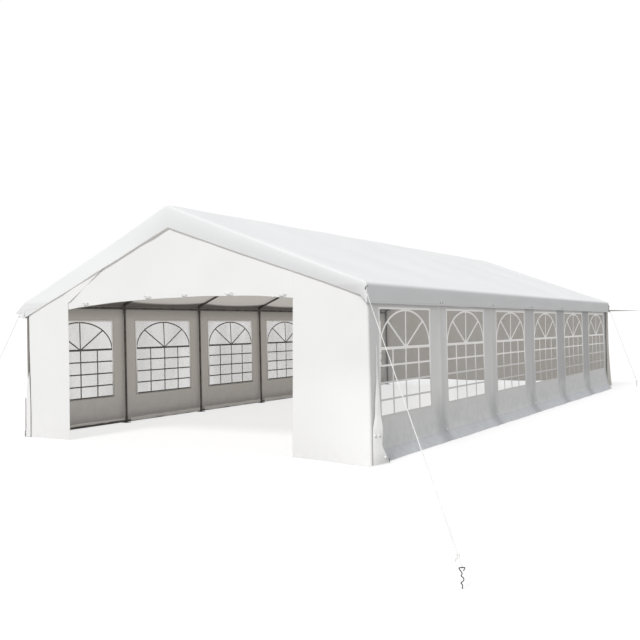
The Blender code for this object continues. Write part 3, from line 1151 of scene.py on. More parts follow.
@dataclass
class RoofCover:
    """One sheet over both slopes, with rounded eaves, valances and a flap over each gable."""

    plan: Plan
    finishes: Finishes
    eave_radius: float = 0.06
    edge_radius: float = 0.0025
    sag: float = 0.016
    flap_peak_z: float = 2.995
    flap_gap: float = 0.024
    flap_billow: float = 0.007
    front_cut: tuple[float, float] = (0.052, 0.075)
    hem_lift: float = 0.055
    crown: float = 0.35
    droop: float = 0.012
    wrinkle: float = 0.0035
    hem_rows: int = 8
    long_rows: int = 164
    stitch_pitch: float = 0.03
    flap_cloth: float = 0.31
    slope_cells: int = 40
    arc_cells: int = 7
    name: str = "roof_sheet"
    seams: Repeats = field(default_factory=lambda: Repeats(Small.STITCH, 0.016))

    def profile(self) -> tuple[np.ndarray, np.ndarray]:
        """Cross-section of the cover from the left hem to the right one.

        Returns:
            Its points and its outward directions, as x and z.
        """
        plan = self.plan
        tilt = math.atan(plan.slope)
        centre_x = plan.reach - self.eave_radius
        centre_z = plan.roof_z(centre_x) - self.eave_radius / math.cos(tilt)
        foot = centre_x + self.eave_radius * math.sin(tilt)
        points, ways = [], []
        for x in np.linspace(0, foot, self.slope_cells + 1)[:-1]:
            points.append((x, plan.roof_z(x)))
            ways.append((math.sin(tilt), math.cos(tilt)))
        for angle in np.linspace(math.pi / 2 - tilt, 0, self.arc_cells + 1):
            way = (math.cos(angle), math.sin(angle))
            points.append((centre_x + self.eave_radius * way[0], centre_z + self.eave_radius * way[1]))
            ways.append(way)
        for z in np.linspace(centre_z, plan.valance_z, self.hem_rows + 1)[1:]:
            points.append((plan.reach, z))
            ways.append((1.0, 0.0))
        ways[0] = (0.0, 1.0)
        right, out = np.array(points), np.array(ways)
        mirror = np.array([-1.0, 1.0])
        return (np.concatenate([(right * mirror)[:0:-1], right]),
                np.concatenate([(out * mirror)[:0:-1], out]))

    def end_line(self, x: np.ndarray, z: np.ndarray, end: End) -> np.ndarray:
        """How far along Y the cover reaches at an end, over each point of the profile."""
        far = np.full(x.shape, self.plan.cover_end)
        if end is End.FRONT:
            far -= self.front_cut[0] * ease((0.2 - x) / 1.2)
            far -= self.front_cut[1] * ease((2.09 - z) / 0.30) * ease(x / 3.0)
        return far

    def relief(self, x: np.ndarray, y: np.ndarray) -> np.ndarray:
        """How far the slopes hang below their straight line, over plan places."""
        share = np.abs(x) / self.plan.half_width
        bay = np.sin(math.pi * (y + self.plan.half_length) / self.plan.bay) ** 2
        inside = ease((self.plan.half_length - np.abs(y)) / 0.25)
        across = np.clip(np.sin(math.pi * np.clip(share, 0, 1)), 0, 1) ** 0.6
        crown = self.crown * (1 - ease(share / 0.3))
        droop = self.droop * ease((np.abs(y) - self.plan.half_length) / 0.1) * (1 - ease((share - 0.9) / 0.1))
        wrinkle = self.wrinkle * ripple(x * 0.35, y, 1, 0.9) * across
        return self.sag * bay * inside * (across + crown) + droop - wrinkle * inside

    def hem_z(self, x: np.ndarray, end: End) -> np.ndarray:
        """Height of a gable flap's lower edge."""
        fall = (self.flap_peak_z - self.plan.valance_z) / self.plan.reach
        z = self.flap_peak_z - fall * np.abs(x)
        if end is End.FRONT:
            z = z + self.hem_lift * ease((x - 0.4) / 2.4) * (1 - ease((x - 2.98) / 0.09))
        return z + 0.004 * ripple(x, x * 0, 3 if end is End.FRONT else 4, 0.8)

    def build(self) -> Object:
        """Make the cover.

        Returns:
            The finished piece.
        """
        plan = self.plan
        flat, ways = self.profile()
        x, z = flat[:, 0], flat[:, 1]
        steps = np.linspace(-1, 1, self.long_rows)
        start = -self.end_line(x, z, End.FRONT) + self.edge_radius
        stop = self.end_line(x, z, End.BACK) - self.edge_radius
        y = start + (steps[:, None] + 1) / 2 * (stop - start)
        grid_x, grid_z = np.broadcast_to(x, y.shape), np.broadcast_to(z, y.shape)
        lift = -self.relief(grid_x, y)
        low = ease((plan.roof_z(plan.half_width) - 0.06 - grid_z) / 0.1)
        belly = 0.006 * ripple(y, grid_z, 2, 1.1) * low + 0.010 * low * np.sin(
            math.pi * (y + plan.half_length) / plan.bay) ** 2 * ease((2.02 - grid_z) / 0.16)
        hem = 0.004 * low * ripple(y, y * 0, 5, 0.7)
        top = np.stack([grid_x + ways[:, 0] * (lift * (1 - low) - belly), y,
                        grid_z + ways[:, 1] * lift * (1 - low) + hem], axis=2)
        lengths = np.concatenate([[0], np.cumsum(np.hypot(np.diff(x), np.diff(z)))])
        sheet = Sheet(self.name)
        sheet.add(top, (0, 0, 1), np.stack([np.broadcast_to(lengths, y.shape), y], axis=2))
        for end in End:
            self._flap(sheet, end, top[0 if end is End.FRONT else -1], ways, lengths)
        for column, side in ((1, Side.LEFT), (-2, Side.RIGHT)):
            line = top[:, column] + np.array([0.0008 * side.value, 0, 0])
            self.seams.line(line, side.out, self.stitch_pitch)
        self.seams.build("cover_stitches", self.finishes["thread"], "roof_sheet")
        carriers = ["ridge_beam", "rafter_left_1", "rafter_right_1", "eave_beam_left", "eave_beam_right"]
        flat = (float(lengths[-1]), 2 * plan.cover_end + 2 * self.flap_cloth)
        return sheet.hang(self.finishes["roof"], "roof_sheet", "roof_cover", flat=flat, held="stretched",
                          rests_on=carriers)

    def _flap(self, sheet: Sheet, end: End, edge: np.ndarray, ways: np.ndarray, lengths: np.ndarray) -> None:
        """Add the bend over an end and the flap that hangs from it.

        Args:
            sheet: The cover.
            end: Which gable.
            edge: The cover's last row of points before the bend.
            ways: Outward direction of the profile at each point, as x and z.
            lengths: Distance of each point along the profile.
        """
        radius = self.edge_radius
        inwards = np.stack([ways[:, 0], np.zeros(len(ways)), ways[:, 1]], axis=1)
        along = np.array([0.0, float(end.value), 0.0])
        rounded = np.array([edge + along * radius * math.sin(angle) - inwards * radius * (1 - math.cos(angle))
                            for angle in np.linspace(0, math.pi / 2, 5)])
        v = edge[None, :, 1] + end.value * np.linspace(0, radius * math.pi / 2, 5)[:, None]
        uv = np.stack([np.broadcast_to(lengths, v.shape), v], axis=2)
        sheet.add(rounded, (0, end.value * 1.0, 0.5), uv)
        first, last = self.hem_rows, len(edge) - 1 - self.hem_rows
        lip = rounded[-1][first:last + 1]
        hem = self.hem_z(lip[:, 0], end)
        hem[0], hem[-1] = rounded[-1][0, 2], rounded[-1][-1, 2]
        share = np.linspace(0, 1, self.hem_rows + 1)[:, None]
        hang = lip[None].repeat(self.hem_rows + 1, axis=0)
        hang[:, :, 2] = lip[:, 2] + share * (hem - lip[:, 2])
        billow = self.flap_billow * ripple(hang[:, :, 0], hang[:, :, 2], 6 if end is End.FRONT else 8, 0.9)
        stand = np.abs(lip[:, 1]) - self.plan.end_face - self.flap_gap
        tuck = np.clip(stand, 0, 1) * ease((self.plan.reach - np.abs(lip[:, 0])) / 0.08)
        hang[:, :, 1] -= end.value * tuck * share ** 1.6
        hang[:, :, 1] += end.value * billow * share * np.sin(math.pi * np.linspace(0, 1, len(lip)))
        hang[:, 0] = rounded[-1][first::-1]
        hang[:, -1] = rounded[-1][last:]
        drop = np.abs(hang[:, :, 2] - lip[:, 2])
        part = slice(first, last + 1)
        uv = np.stack([np.broadcast_to(lengths[part], drop.shape), v[-1][part] + drop], axis=2)
        sheet.add(hang, end.out, uv)
        inner = hang[-1, 2:-2] * 0.82 + hang[-2, 2:-2] * 0.18
        self.seams.line(inner + np.array([0, 0.0008 * end.value, 0]), end.out, self.stitch_pitch)


@dataclass
class SideWall:
    """Side wall of one long side, with its window openings and its skirt on the ground."""

    plan: Plan
    finishes: Finishes
    side: Side
    top_z: float = 2.05
    skirt_z: float = 0.13
    flare_z: float = 0.40
    window_half: float = 0.7276
    window_low: float = 0.488
    window_high: float = 1.806
    bow: float = 0.016
    softness: float = 0.0035
    pole_ridge: float = 0.009
    pole_swell: float = 0.016
    belly: float = 0.010
    fan: float = 0.011
    cloth_height: float = 2.11
    film_lap: float = 0.018
    film_thick: float = 0.0008
    film_depth: float = 0.0024
    pucker: float = 0.0014
    hem_out: float = 0.022
    slit: float = 0.14
    past_leg: float = 0.0205

    def place(self, y: np.ndarray, z: np.ndarray, out: float = 0.0) -> np.ndarray:
        """Points on the wall's outer face.

        Args:
            y: Places along the wall.
            z: Heights.
            out: Distance outwards from the face.

        Returns:
            The points.
        """
        plan, seed = self.plan, 20 + self.side.value
        share = np.mod((y + plan.half_length) / plan.bay, 1.0)
        near = np.minimum(share, 1 - share) * plan.bay
        hung = np.sin(math.pi * np.clip((z - 0.10) / 1.82, 0, 1))
        hollow = -self.bow * np.sin(math.pi * share) * hung
        soft = self.softness * ripple(y, z * 0.6, seed, 0.55) * ease(near / 0.12) * hung
        x = plan.wall_face + hollow + self._over_pole(near, z) + soft + self._foot(near, z)
        return np.stack([self.side.value * (x + self._skirt(y, z, near) + out), y, z], axis=-1)

    def _over_pole(self, near: np.ndarray, z: np.ndarray) -> np.ndarray:
        """How far a pole pushes the cloth out, by the distance from it."""
        ridge = self.pole_ridge * bell(near, 0, 0.034) - 0.003 * bell(near, 0.095, 0.045)
        return ridge + self.pole_swell * (1 - ease(near / 0.30)) * np.sin(
            math.pi * np.clip((z - 0.02) / 2.0, 0, 1)) ** 0.5

    def _foot(self, near: np.ndarray, z: np.ndarray) -> np.ndarray:
        """How far the cloth bellies low down, with folds that fan out from the foot of each pole."""
        spokes = np.abs(np.sin(3.2 * np.arctan2(near, 0.62 - z) + 0.5)) - 0.6
        fan = self.fan * spokes * bell(near, 0, 0.26) * ease((0.55 - z) / 0.3) * ease(z / 0.10)
        return self.belly * ease((0.46 - z) / 0.34) + fan

    def _skirt(self, y: np.ndarray, z: np.ndarray, near: np.ndarray) -> np.ndarray:
        """How far the skirt runs out to its wavy hem."""
        seed = 20 + self.side.value
        above = (1 - np.clip((z - self.skirt_z) / (self.flare_z - self.skirt_z), 0, 1)) ** 2
        below = 1 - np.clip(z / self.skirt_z, 0, 1)
        reach = self.plan.skirt_x - self.plan.wall_face - 0.004 + self.hem_out
        hem = 0.014 * ripple(y, y * 0, seed + 3, 0.9) + 0.005 * ripple(y, y * 0, seed + 4, 0.16)
        return reach * (0.20 * above + 0.80 * below ** 1.1) + (hem - 0.022 * bell(near, 0, 0.09)) * below

    def columns(self) -> np.ndarray:
        """Places of the wall's columns, close together near the legs.

        Returns:
            The places along the wall, ascending.
        """
        end = self.plan.half_length + self.past_leg
        back = self.plan.half_length - self.slit if self.side is Side.RIGHT else end
        gap = self.plan.bay / 2 - self.window_half
        steps = gap * np.linspace(0, 1, 10)[1:] ** 1.5
        places = [-end, back]
        for station in self.plan.stations:
            places += [station + way * step for step in steps for way in (-1, 1)] + [station]
        for middle in self.plan.middles:
            places += list(np.linspace(middle - self.window_half, middle + self.window_half, 17)[1:-1])
        inside = sorted(round(place, 5) for place in places if -end <= place <= back)
        return np.array(sorted(set(inside)))

    def heights(self) -> np.ndarray:
        """Heights of the wall's rows, from the ground to the eave."""
        low = [0.004, 0.010, 0.019, 0.031, 0.046, 0.063, 0.083, 0.106, self.skirt_z]
        rest = spread([self.skirt_z, self.window_low, self.window_high, self.top_z], 0.085)
        return np.concatenate([low[:-1], rest])

    def open(self, middle: np.ndarray) -> bool:
        """Whether a cell of the wall is in a window."""
        near = min(abs(middle[1] - place) for place in self.plan.middles)
        return near < self.window_half and self.window_low < middle[2] < self.window_high

    def build(self) -> Object:
        """Make the wall and its film.

        Returns:
            The wall.
        """
        y, z = np.meshgrid(self.columns(), self.heights())
        name = f"side_sheet_{self.side.word}"
        sheet = Sheet(name).add(self.place(y, z), self.side.out, None, self.open)
        length = 2 * self.plan.half_length + 0.05
        window = 2 * self.window_half * (self.window_high - self.window_low)
        area = self.cloth_height * length - self.plan.bays * window
        wall = sheet.hang(self.finishes["side"], "wall_sheet", f"side_wall_{self.side.word}",
                          flat=(self.cloth_height, length), held="hung", area=area,
                          rests_on=[f"eave_beam_{self.side.word}"])
        self._film()
        return wall

    def _film(self) -> None:
        """Clear film behind each window."""
        low, high = self.window_low - self.film_lap, self.window_high + self.film_lap
        half = self.window_half + self.film_lap
        sheet = Sheet(f"window_panes_{self.side.word}", self.film_thick)
        for index, middle in enumerate(self.plan.middles):
            y, z = np.meshgrid(np.linspace(middle - half, middle + half, 31), np.linspace(low, high, 29))
            pucker = self.pucker * ripple(y, z, 40 + index + self.side.value, 0.45)
            inner = np.minimum(half - np.abs(y - middle), np.minimum(z - low, high - z)) / 0.2
            grid = self.place(y, z, -self.film_depth)
            grid[:, :, 0] -= self.side.value * np.abs(pucker) * ease(inner)
            sheet.add(grid, self.side.out)
        word, flat = self.side.word, (high - low, self.plan.bays * 2 * half)
        sheet.hang(self.finishes[f"film_{word}"], "window_film", f"window_film_{word}", flat=flat,
                   held="stretched", area=flat[0] * flat[1], rests_on=[f"side_sheet_{word}"])


@dataclass
class EndWall:
    """One gable wall: two corner panels, a gable sheet and a door, rolled up or closed."""

    plan: Plan
    finishes: Finishes
    end: End
    hem_side_z: float = 1.947
    hem_rise: float = 0.087
    corner_radius: float = 0.030
    return_length: float = 0.17
    lap: float = 0.0025
    diagonal_foot: tuple[float, float] = (-1.99, 2.08)
    diagonal_slope: float = 0.63
    diagonal_end: float = -1.15
    back_jamb: float = 2.0
    door_half: float = 1.994
    panel_rows: int = 58
    panel_height: float = 2.35
    left_size: tuple[float, float] = (1.8, 2.5)
    left_area: float = 2.40
    gable_size: tuple[float, float] = (4.1, 1.36)
    gable_area: float = 3.55
    door_size: tuple[float, float] = (3.99, 2.05)
    back_pull: float = 0.35
    back_tail: float = 0.048
    zip_tooth: float = 0.0055
    zip_pitch: float = 0.008
    clear: float = 0.003
    flap_z: float = 2.05
    pocket_seams: tuple[float, float] = (2.880, 2.956)
    left_edges: tuple[float, float] = (-2.950, -2.976)
    left_jamb: float = -2.066
    right_jamb: float = 2.008
    jamb_lean: float = 0.055
    corner_pull: tuple[float, float] = (0.100, 0.185)
    left_strip: tuple[tuple[Sequence[float], Sequence[float]], ...] = (
        ((0.0, 0.73, 0.88, 1.0), (-3.056, -3.036, -3.015, -2.979)),
        ((0.0, 0.42, 0.65, 0.81, 1.0), (-2.944, -2.950, -2.958, -2.968, -2.976)))

    @property
    def front(self) -> bool:
        """Whether this is the open front gable."""
        return self.end is End.FRONT

    def place(self, x: np.ndarray, out: np.ndarray, z: np.ndarray) -> np.ndarray:
        """Points by their distance in front of the end wall's plane."""
        y = self.end.value * (self.plan.end_face + out)
        return np.stack(np.broadcast_arrays(x, y, z), axis=-1).astype(float)

    def hem_z(self, x: np.ndarray) -> np.ndarray:
        """Height of the doorway's bowed upper edge."""
        bow = self.hem_side_z + self.hem_rise * (1 - np.abs(x / 2.05) ** 2.6)
        return bow + 0.0035 * ripple(x, x * 0, 61, 0.7)

    def diagonal(self, x: np.ndarray) -> np.ndarray:
        """Height of the left panel's slanting edge."""
        return self.diagonal_foot[1] + self.diagonal_slope * (x - self.diagonal_foot[0])

    def foot_z(self, x: np.ndarray) -> np.ndarray:
        """Height of the sheets' lower edge, which hangs a little off the ground at the back."""
        if self.front:
            return np.full(np.shape(x), self.clear)
        return 0.05 + 0.105 * ease((3.0 - np.abs(x)) / 1.1) + 0.012 * ripple(x, x * 0, 62, 0.9)

    def drape(self, x: np.ndarray, z: np.ndarray, seed: int) -> np.ndarray:
        """How far the cloth stands in front of its plane: long soft upright folds."""
        folds = 0.005 * ripple(x, z * 0.22, seed, 0.42) + 0.003 * ripple(x, z, seed + 1, 0.9)
        return folds * ease((self.plan.under_roof(x) - z) / 0.4)

    def build(self) -> None:
        """Make every sheet of this end."""
        if self.front:
            self._left_panel()
        else:
            self._corner_panel(Side.LEFT)
        self._corner_panel(Side.RIGHT)
        self._gable()
        if not self.front:
            self._closed_door()

    def _corner_panel(self, side: Side) -> None:
        """Panel beside the door that turns round the corner on to the side wall.

        Args:
            side: Left or right of the tent.
        """
        plan, radius, sign = self.plan, self.corner_radius, side.value
        jamb = self.right_jamb if self.front else self.back_jamb
        flat_end = plan.half_width + 0.020
        ways = spread([jamb, 2.872, 2.888, 2.950, 2.962, flat_end], 0.035)
        turn = np.linspace(0, math.pi / 2, 8)[1:]
        back = np.linspace(0, self.return_length, 7)[1:]
        x = np.concatenate([ways, flat_end + radius * np.sin(turn),
                            flat_end + radius - 0.016 * back / back[-1]])
        out = np.concatenate([ways * 0, -radius * (1 - np.cos(turn)), -radius - back])
        if not self.front and side is Side.RIGHT:
            tail = np.linspace(0, self.back_tail, 5)[1:]
            x, out = np.concatenate([ways, flat_end + tail]), np.concatenate([ways * 0, -2.5 * tail ** 2])
        share = np.linspace(0, 1, self.panel_rows)[:, None] ** 0.9
        top = np.minimum(plan.under_roof(x) - 0.004, np.where(x > flat_end + 0.004, 2.085, 9.0))
        foot = self.foot_z(x)
        z = foot + share * (top - foot)
        front_part = ease((flat_end + radius * 0.5 - x) / 0.12)
        seams = -0.0035 * sum(bell(x, place, 0.007) for place in self.pocket_seams)
        depth = (self.drape(x, z, 70 + 3 * self.end.value + sign) * front_part + seams * front_part
                 + out + self.lap * front_part)
        pull = taper(z, 1.15, 1.7)
        reach = ease((x - jamb) / (flat_end - jamb)) * np.where(out < -radius, 1 + (out + radius) * 3.2, 1)
        weight = 1.0 if self.front else self.back_pull
        across = x + weight * self.corner_pull[0] * pull * reach
        away = depth + weight * self.corner_pull[1] * pull * reach + 0.012 * pull
        if self.front:
            across = across - self.jamb_lean * taper(z, 1.95) * (1 - ease((x - jamb) / 0.5))
        grid = self.place(sign * across, away, z)
        name = f"{self.end.word}_sheet_{side.word}"
        sheet = Sheet(name).add(grid, self.end.out)
        flat = (float(np.hypot(np.diff(x), np.diff(out)).sum()), self.panel_height)
        self._hang(sheet, f"{self.end.word}_panel_{side.word}", flat, [self._rafter(side)])
        self._zip(f"{self.end.word}_zip_{side.word}", grid[:, 0], -side.value)

    def _hang(self, sheet: Sheet, node: str, flat: tuple[float, float], rests_on: list[str],
              **area: float) -> None:
        """Hang a sheet of this end in place of its CAD node."""
        sheet.hang(self.finishes["wall"], "wall_sheet", node, flat=flat, held="hung", rests_on=rests_on,
                   **area)

    def _zip(self, name: str, edge: np.ndarray, way: int) -> None:
        """Zip teeth along the edge of a panel.

        Args:
            name: Name of the piece.
            edge: Points of the panel's edge, upwards.
            way: -1 when the edge looks left, 1 when it looks right.
        """
        teeth = Repeats(Small.TOOTH, self.zip_tooth)
        part = edge[(edge[:, 2] > 0.02) & (edge[:, 2] < 2.0)]
        teeth.line(part + np.array([0.002 * way, 0, 0]), self.end.out, self.zip_pitch)
        teeth.build(name, self.finishes["tape"], "wall_sheet")

    def _rafter(self, side: Side) -> str:
        """Name of the rafter that stands at this end, on one side."""
        return f"rafter_{side.word}_{1 if self.front else self.plan.bays + 1}"

    def _left_panel(self) -> None:
        """Front left panel, whose upper edge beside the gable sheet slants up to the roof flap."""
        plan = self.plan
        x = spread([self.left_edges[1], self.left_edges[1] + 0.03, self.left_jamb], 0.04)
        z = np.linspace(self.clear, self.flap_z, 46)
        grid_x, grid_z = np.meshgrid(x, z)
        lean = (self.left_edges[0] - self.left_edges[1]) * taper(grid_z, 1.5)
        grid_x = grid_x + lean * (1 - ease((grid_x - x[0]) / 0.3))
        pull = taper(grid_z, 1.1, 1.6)
        depth = 0.006 + self.drape(grid_x, grid_z, 80) + 0.018 * pull
        sheet = Sheet(f"{self.end.word}_sheet_left")
        sheet.add(self.place(grid_x, depth, grid_z), self.end.out)
        grid_shape = (*grid_x.shape, 3)
        wide = np.concatenate([x, spread([self.left_jamb, self.diagonal_end], 0.04)[1:]])
        low = np.maximum(self.flap_z, self.diagonal(wide))
        share, grid_z = fill(low, plan.under_roof(wide), 14)
        grid_x = np.broadcast_to(wide, grid_z.shape)
        depth = 0.006 + self.drape(grid_x, grid_z, 80) + 0.004 * (1 - share) * ease((wide + 2.1) / 0.1)
        sheet.add(self.place(grid_x, depth, grid_z), self.end.out)
        self._zip("front_zip_left", sheet.points[0].reshape(grid_shape)[:, -1], 1)
        z = np.linspace(0.004, 1.0, 26)
        edges = [np.interp(z, heights, places) for heights, places in self.left_strip]
        across = np.linspace(0, 1, 5)[None, :]
        strip = edges[0][:, None] + across * (edges[1] - edges[0])[:, None]
        pull = taper(z, 1.1, 1.6)[:, None]
        sheet.add(self.place(strip, 0.016 + 0.022 * pull + 0.006 * np.sin(math.pi * across), z[:, None]),
                  self.end.out)
        self._hang(sheet, "front_panel_left", self.left_size, [self._rafter(Side.LEFT)], area=self.left_area)

    def _gable(self) -> None:
        """Gable sheet over the doorway."""
        plan = self.plan
        left = self.left_jamb - 0.010 if self.front else -self.back_jamb
        right = self.right_jamb + 0.010 if self.front else self.back_jamb
        x = spread([left, -1.9, -1.2, 0.0, right], 0.045)
        low, high = self.hem_z(x), plan.under_roof(x)
        if self.front:
            high = np.minimum(high, np.where(x < self.diagonal_end, self.diagonal(x) + 0.035, 9.0))
        share, z = fill(low, high, 26)
        grid_x = np.broadcast_to(x, z.shape)
        depth = self.drape(grid_x, z, 90 + self.end.value) * np.minimum(1, share * 6 + 0.3)
        edge = ease((grid_x - left) / 0.08) * ease((right - grid_x) / 0.08)
        sheet = Sheet(f"{self.end.word}_gable_sheet")
        sheet.add(self.place(grid_x, depth * edge + 0.0005 + 0.0046 * (1 - edge) * (grid_x > 0), z),
                  self.end.out)
        self._hang(sheet, f"{self.end.word}_gable_panel", self.gable_size,
                   [self._rafter(side) for side in Side], area=self.gable_area)

    def _closed_door(self) -> None:
        """Closed door sheet, from the ground to the gable sheet."""
        x = spread([-self.door_half, 0.0, self.door_half], 0.05)
        foot, high = self.foot_z(x), self.hem_z(x) + 0.02
        share, z = fill(foot, high, 50)
        grid_x = np.broadcast_to(x, z.shape)
        pull = taper(z, 1.1, 1.7)
        folds = self.drape(grid_x, z, 95) * ease((self.door_half - np.abs(grid_x)) / 0.1)
        depth = folds + 0.012 * pull - 0.002 * share
        door = Sheet("back_door_sheet").add(self.place(grid_x, depth, z), self.end.out)
        self._hang(door, "back_door", self.door_size, ["back_gable_sheet"])


@dataclass
class RolledDoor:
    """Door sheet of the open gable, wound up behind its hem and tied."""

    wall: EndWall
    finishes: Finishes
    inner: float = 0.008
    height: float = 0.026
    depth: float = 0.019
    sag: float = 0.004
    turns: int = 8
    cells: int = 20
    ties: tuple[float, ...] = (-1.68, -0.42, 0.245, 1.02, 1.85)

    def build(self) -> None:
        """Make the roll and its ties."""
        wall = self.wall
        x = np.linspace(wall.left_jamb + 0.016, wall.right_jamb - 0.010, 74)
        turn = np.linspace(0, 1, self.turns * self.cells + 1)
        angle = 2 * math.pi * self.turns * turn + math.pi / 2
        size = self.inner / self.height + (1 - self.inner / self.height) * turn
        up, aside = ((reach * size * np.sign(way) * np.abs(way) ** power)[:, None] for reach, way, power in (
            (self.height, np.sin(angle), 0.85), (self.depth, np.cos(angle), 0.7)))
        swell = 1 + 0.09 * ripple(x, x * 0, 101, 0.5)
        tied = 1 - 0.16 * sum(bell(x, tie, 0.035) for tie in self.ties)
        z = wall.hem_z(x) + self.height - self.sag + up * swell * tied
        out = -0.004 - self.depth - aside * swell * tied
        grid = wall.place(np.broadcast_to(x, z.shape), out, z)
        flat = (float(x[-1] - x[0]), float(np.linalg.norm(np.diff(grid[:, 0], axis=0), axis=1).sum()))
        sheet = Sheet("door_roll", 0.0011).add(grid, wall.end.out)
        sheet.hang(self.finishes["wall"], "wall_sheet", "rolled_door", flat=flat, held="folded",
                   rests_on=["front_gable_sheet"])
        self._knots()

    def _knots(self) -> None:
        """Bow knots of tape round the roll."""
        wall, lines = self.wall, []
        for index, tie in enumerate(self.ties):
            chance = np.random.RandomState(SEED + index)
            base = float(wall.hem_z(np.array([tie]))[0]) + self.height
            face = -(wall.plan.end_face + 0.010)
            middle = face + self.depth + 0.013
            wide, high = self.depth + 0.012, self.height + 0.003
            ring = [(tie, middle + wide * math.cos(angle), base + high * math.sin(angle))
                    for angle in np.linspace(0, 2 * math.pi, 17)]
            lines.append(smooth_path(ring, 0.008))
            for way in (-1, 1):
                wide, high = chance.uniform(0.045, 0.065), chance.uniform(0.010, 0.028)
                loop = [(tie, face, base), (tie + way * wide * 0.6, face - 0.006, base + high),
                        (tie + way * wide, face - 0.004, base + high * 0.5),
                        (tie + way * wide * 0.6, face - 0.003, base - 0.006), (tie, face - 0.002, base)]
                lines.append(smooth_path(loop, 0.006))
                end = [(tie, face - 0.002, base), (tie + way * wide * 0.4, face - 0.005, base - 0.016),
                       (tie + way * wide * 0.62, face - 0.002, base - chance.uniform(0.030, 0.042))]
                lines.append(smooth_path(end, 0.006))
        LaidRope(radius=0.0046, lay=0.02, step=0.007).build("door_ties", lines, self.finishes["tape"])


@dataclass
class LooseCorner:
    """Loose strip of the front right panel that stands out from the corner and is pegged to the ground."""

    finishes: Finishes
    top_z: float = 1.36
    heights: tuple[float, ...] = (0.0, 0.12, 0.22, 0.40, 0.54, 0.68, 0.95, 1.36)
    widths: tuple[float, ...] = (0.262, 0.175, 0.13, 0.14, 0.085, 0.072, 0.026, 0.008)
    starts: tuple[float, ...] = (-6.185, -6.154, -6.13, -6.082, -5.997, -5.965, -5.887, -5.867)
    peg: tuple[float, float] = (3.205, -5.888)
    corner_x: float = 3.056
    cloth_width: float = 0.25
    cloth_area: float = 0.112

    def build(self) -> None:
        """Make the strip, its toggles and its peg."""
        z = np.linspace(0.004, self.top_z, 60)
        width = 0.95 * np.interp(z, self.heights, self.widths)
        start_y = np.interp(z, self.heights, self.starts)
        start_x = self.corner_x + 0.10 * taper(z, 1.15, 1.7)
        turned = math.radians(10) * taper(z, 0.13, 1.2) + math.radians(60)
        share = np.linspace(0, 1, 13)[None, :]
        bow = 0.010 * np.sin(math.pi * share) * np.clip(width / 0.1, 0, 1)[:, None]
        x = start_x[:, None] + share * (width * np.cos(turned))[:, None]
        y = start_y[:, None] + share * (width * np.sin(turned))[:, None] - bow
        y = y + 0.004 * ripple(x * 2, np.broadcast_to(z[:, None], x.shape), 110, 0.3) * share
        height = z[:, None] + 0.012 * share * taper(z[:, None], 0.2)
        grid = np.stack([x, y, height], axis=2)
        sheet = Sheet("loose_corner_sheet").add(grid, (0, -1, 0))
        sheet.hang(self.finishes["wall"], "wall_sheet", flat=(self.cloth_width, self.top_z + 0.03),
                   held="hung", area=self.cloth_area, rests_on=["front_sheet_right"])
        self._toggles(grid)

    def _toggles(self, grid: np.ndarray) -> None:
        """Make the ball toggles with their elastic, and the peg that holds the tip down.

        Args:
            grid: Points of the strip.
        """
        balls = Repeats(Small.BALL, 0.013)
        rows = len(grid)
        spots = [(round(rows * 0.235), 4), (round(rows * 0.235), 9), (round(rows * 0.045), 11)]
        lines = []
        for row, column in spots:
            spot = grid[row, column] + np.array([0.0, -0.013, 0.0])
            balls.put(spot, (0, -1, 0))
            hang = [spot + np.array([0.0, 0.004, 0.012]), spot + np.array([0.006, 0.0, 0.030]),
                    spot + np.array([-0.004, 0.004, 0.048])]
            lines.append(smooth_path(hang, 0.006))
        tip = grid[1, -1]
        peg = np.array([self.peg[0], self.peg[1], 0.03])
        lines.append(smooth_path([tip, (tip + peg) / 2 + np.array([0.004, 0, 0.004]), peg], 0.006))
        balls.build("corner_balls", self.finishes["ball"], "wall_sheet")
        LaidRope(radius=0.0026, lay=0.014, step=0.005).build("corner_elastic", lines, self.finishes["rope"])
        x, y = self.peg
        hook = smooth_path([(x, y, 0.0), (x, y, 0.036), (x + 0.004, y - 0.010, 0.044),
                            (x + 0.008, y - 0.024, 0.036)])
        bare = LaidRope(radius=0.0050, lay=0.9, step=0.006)
        bare.build("corner_peg", [hook], self.finishes["dark"], slot="stake_steel")


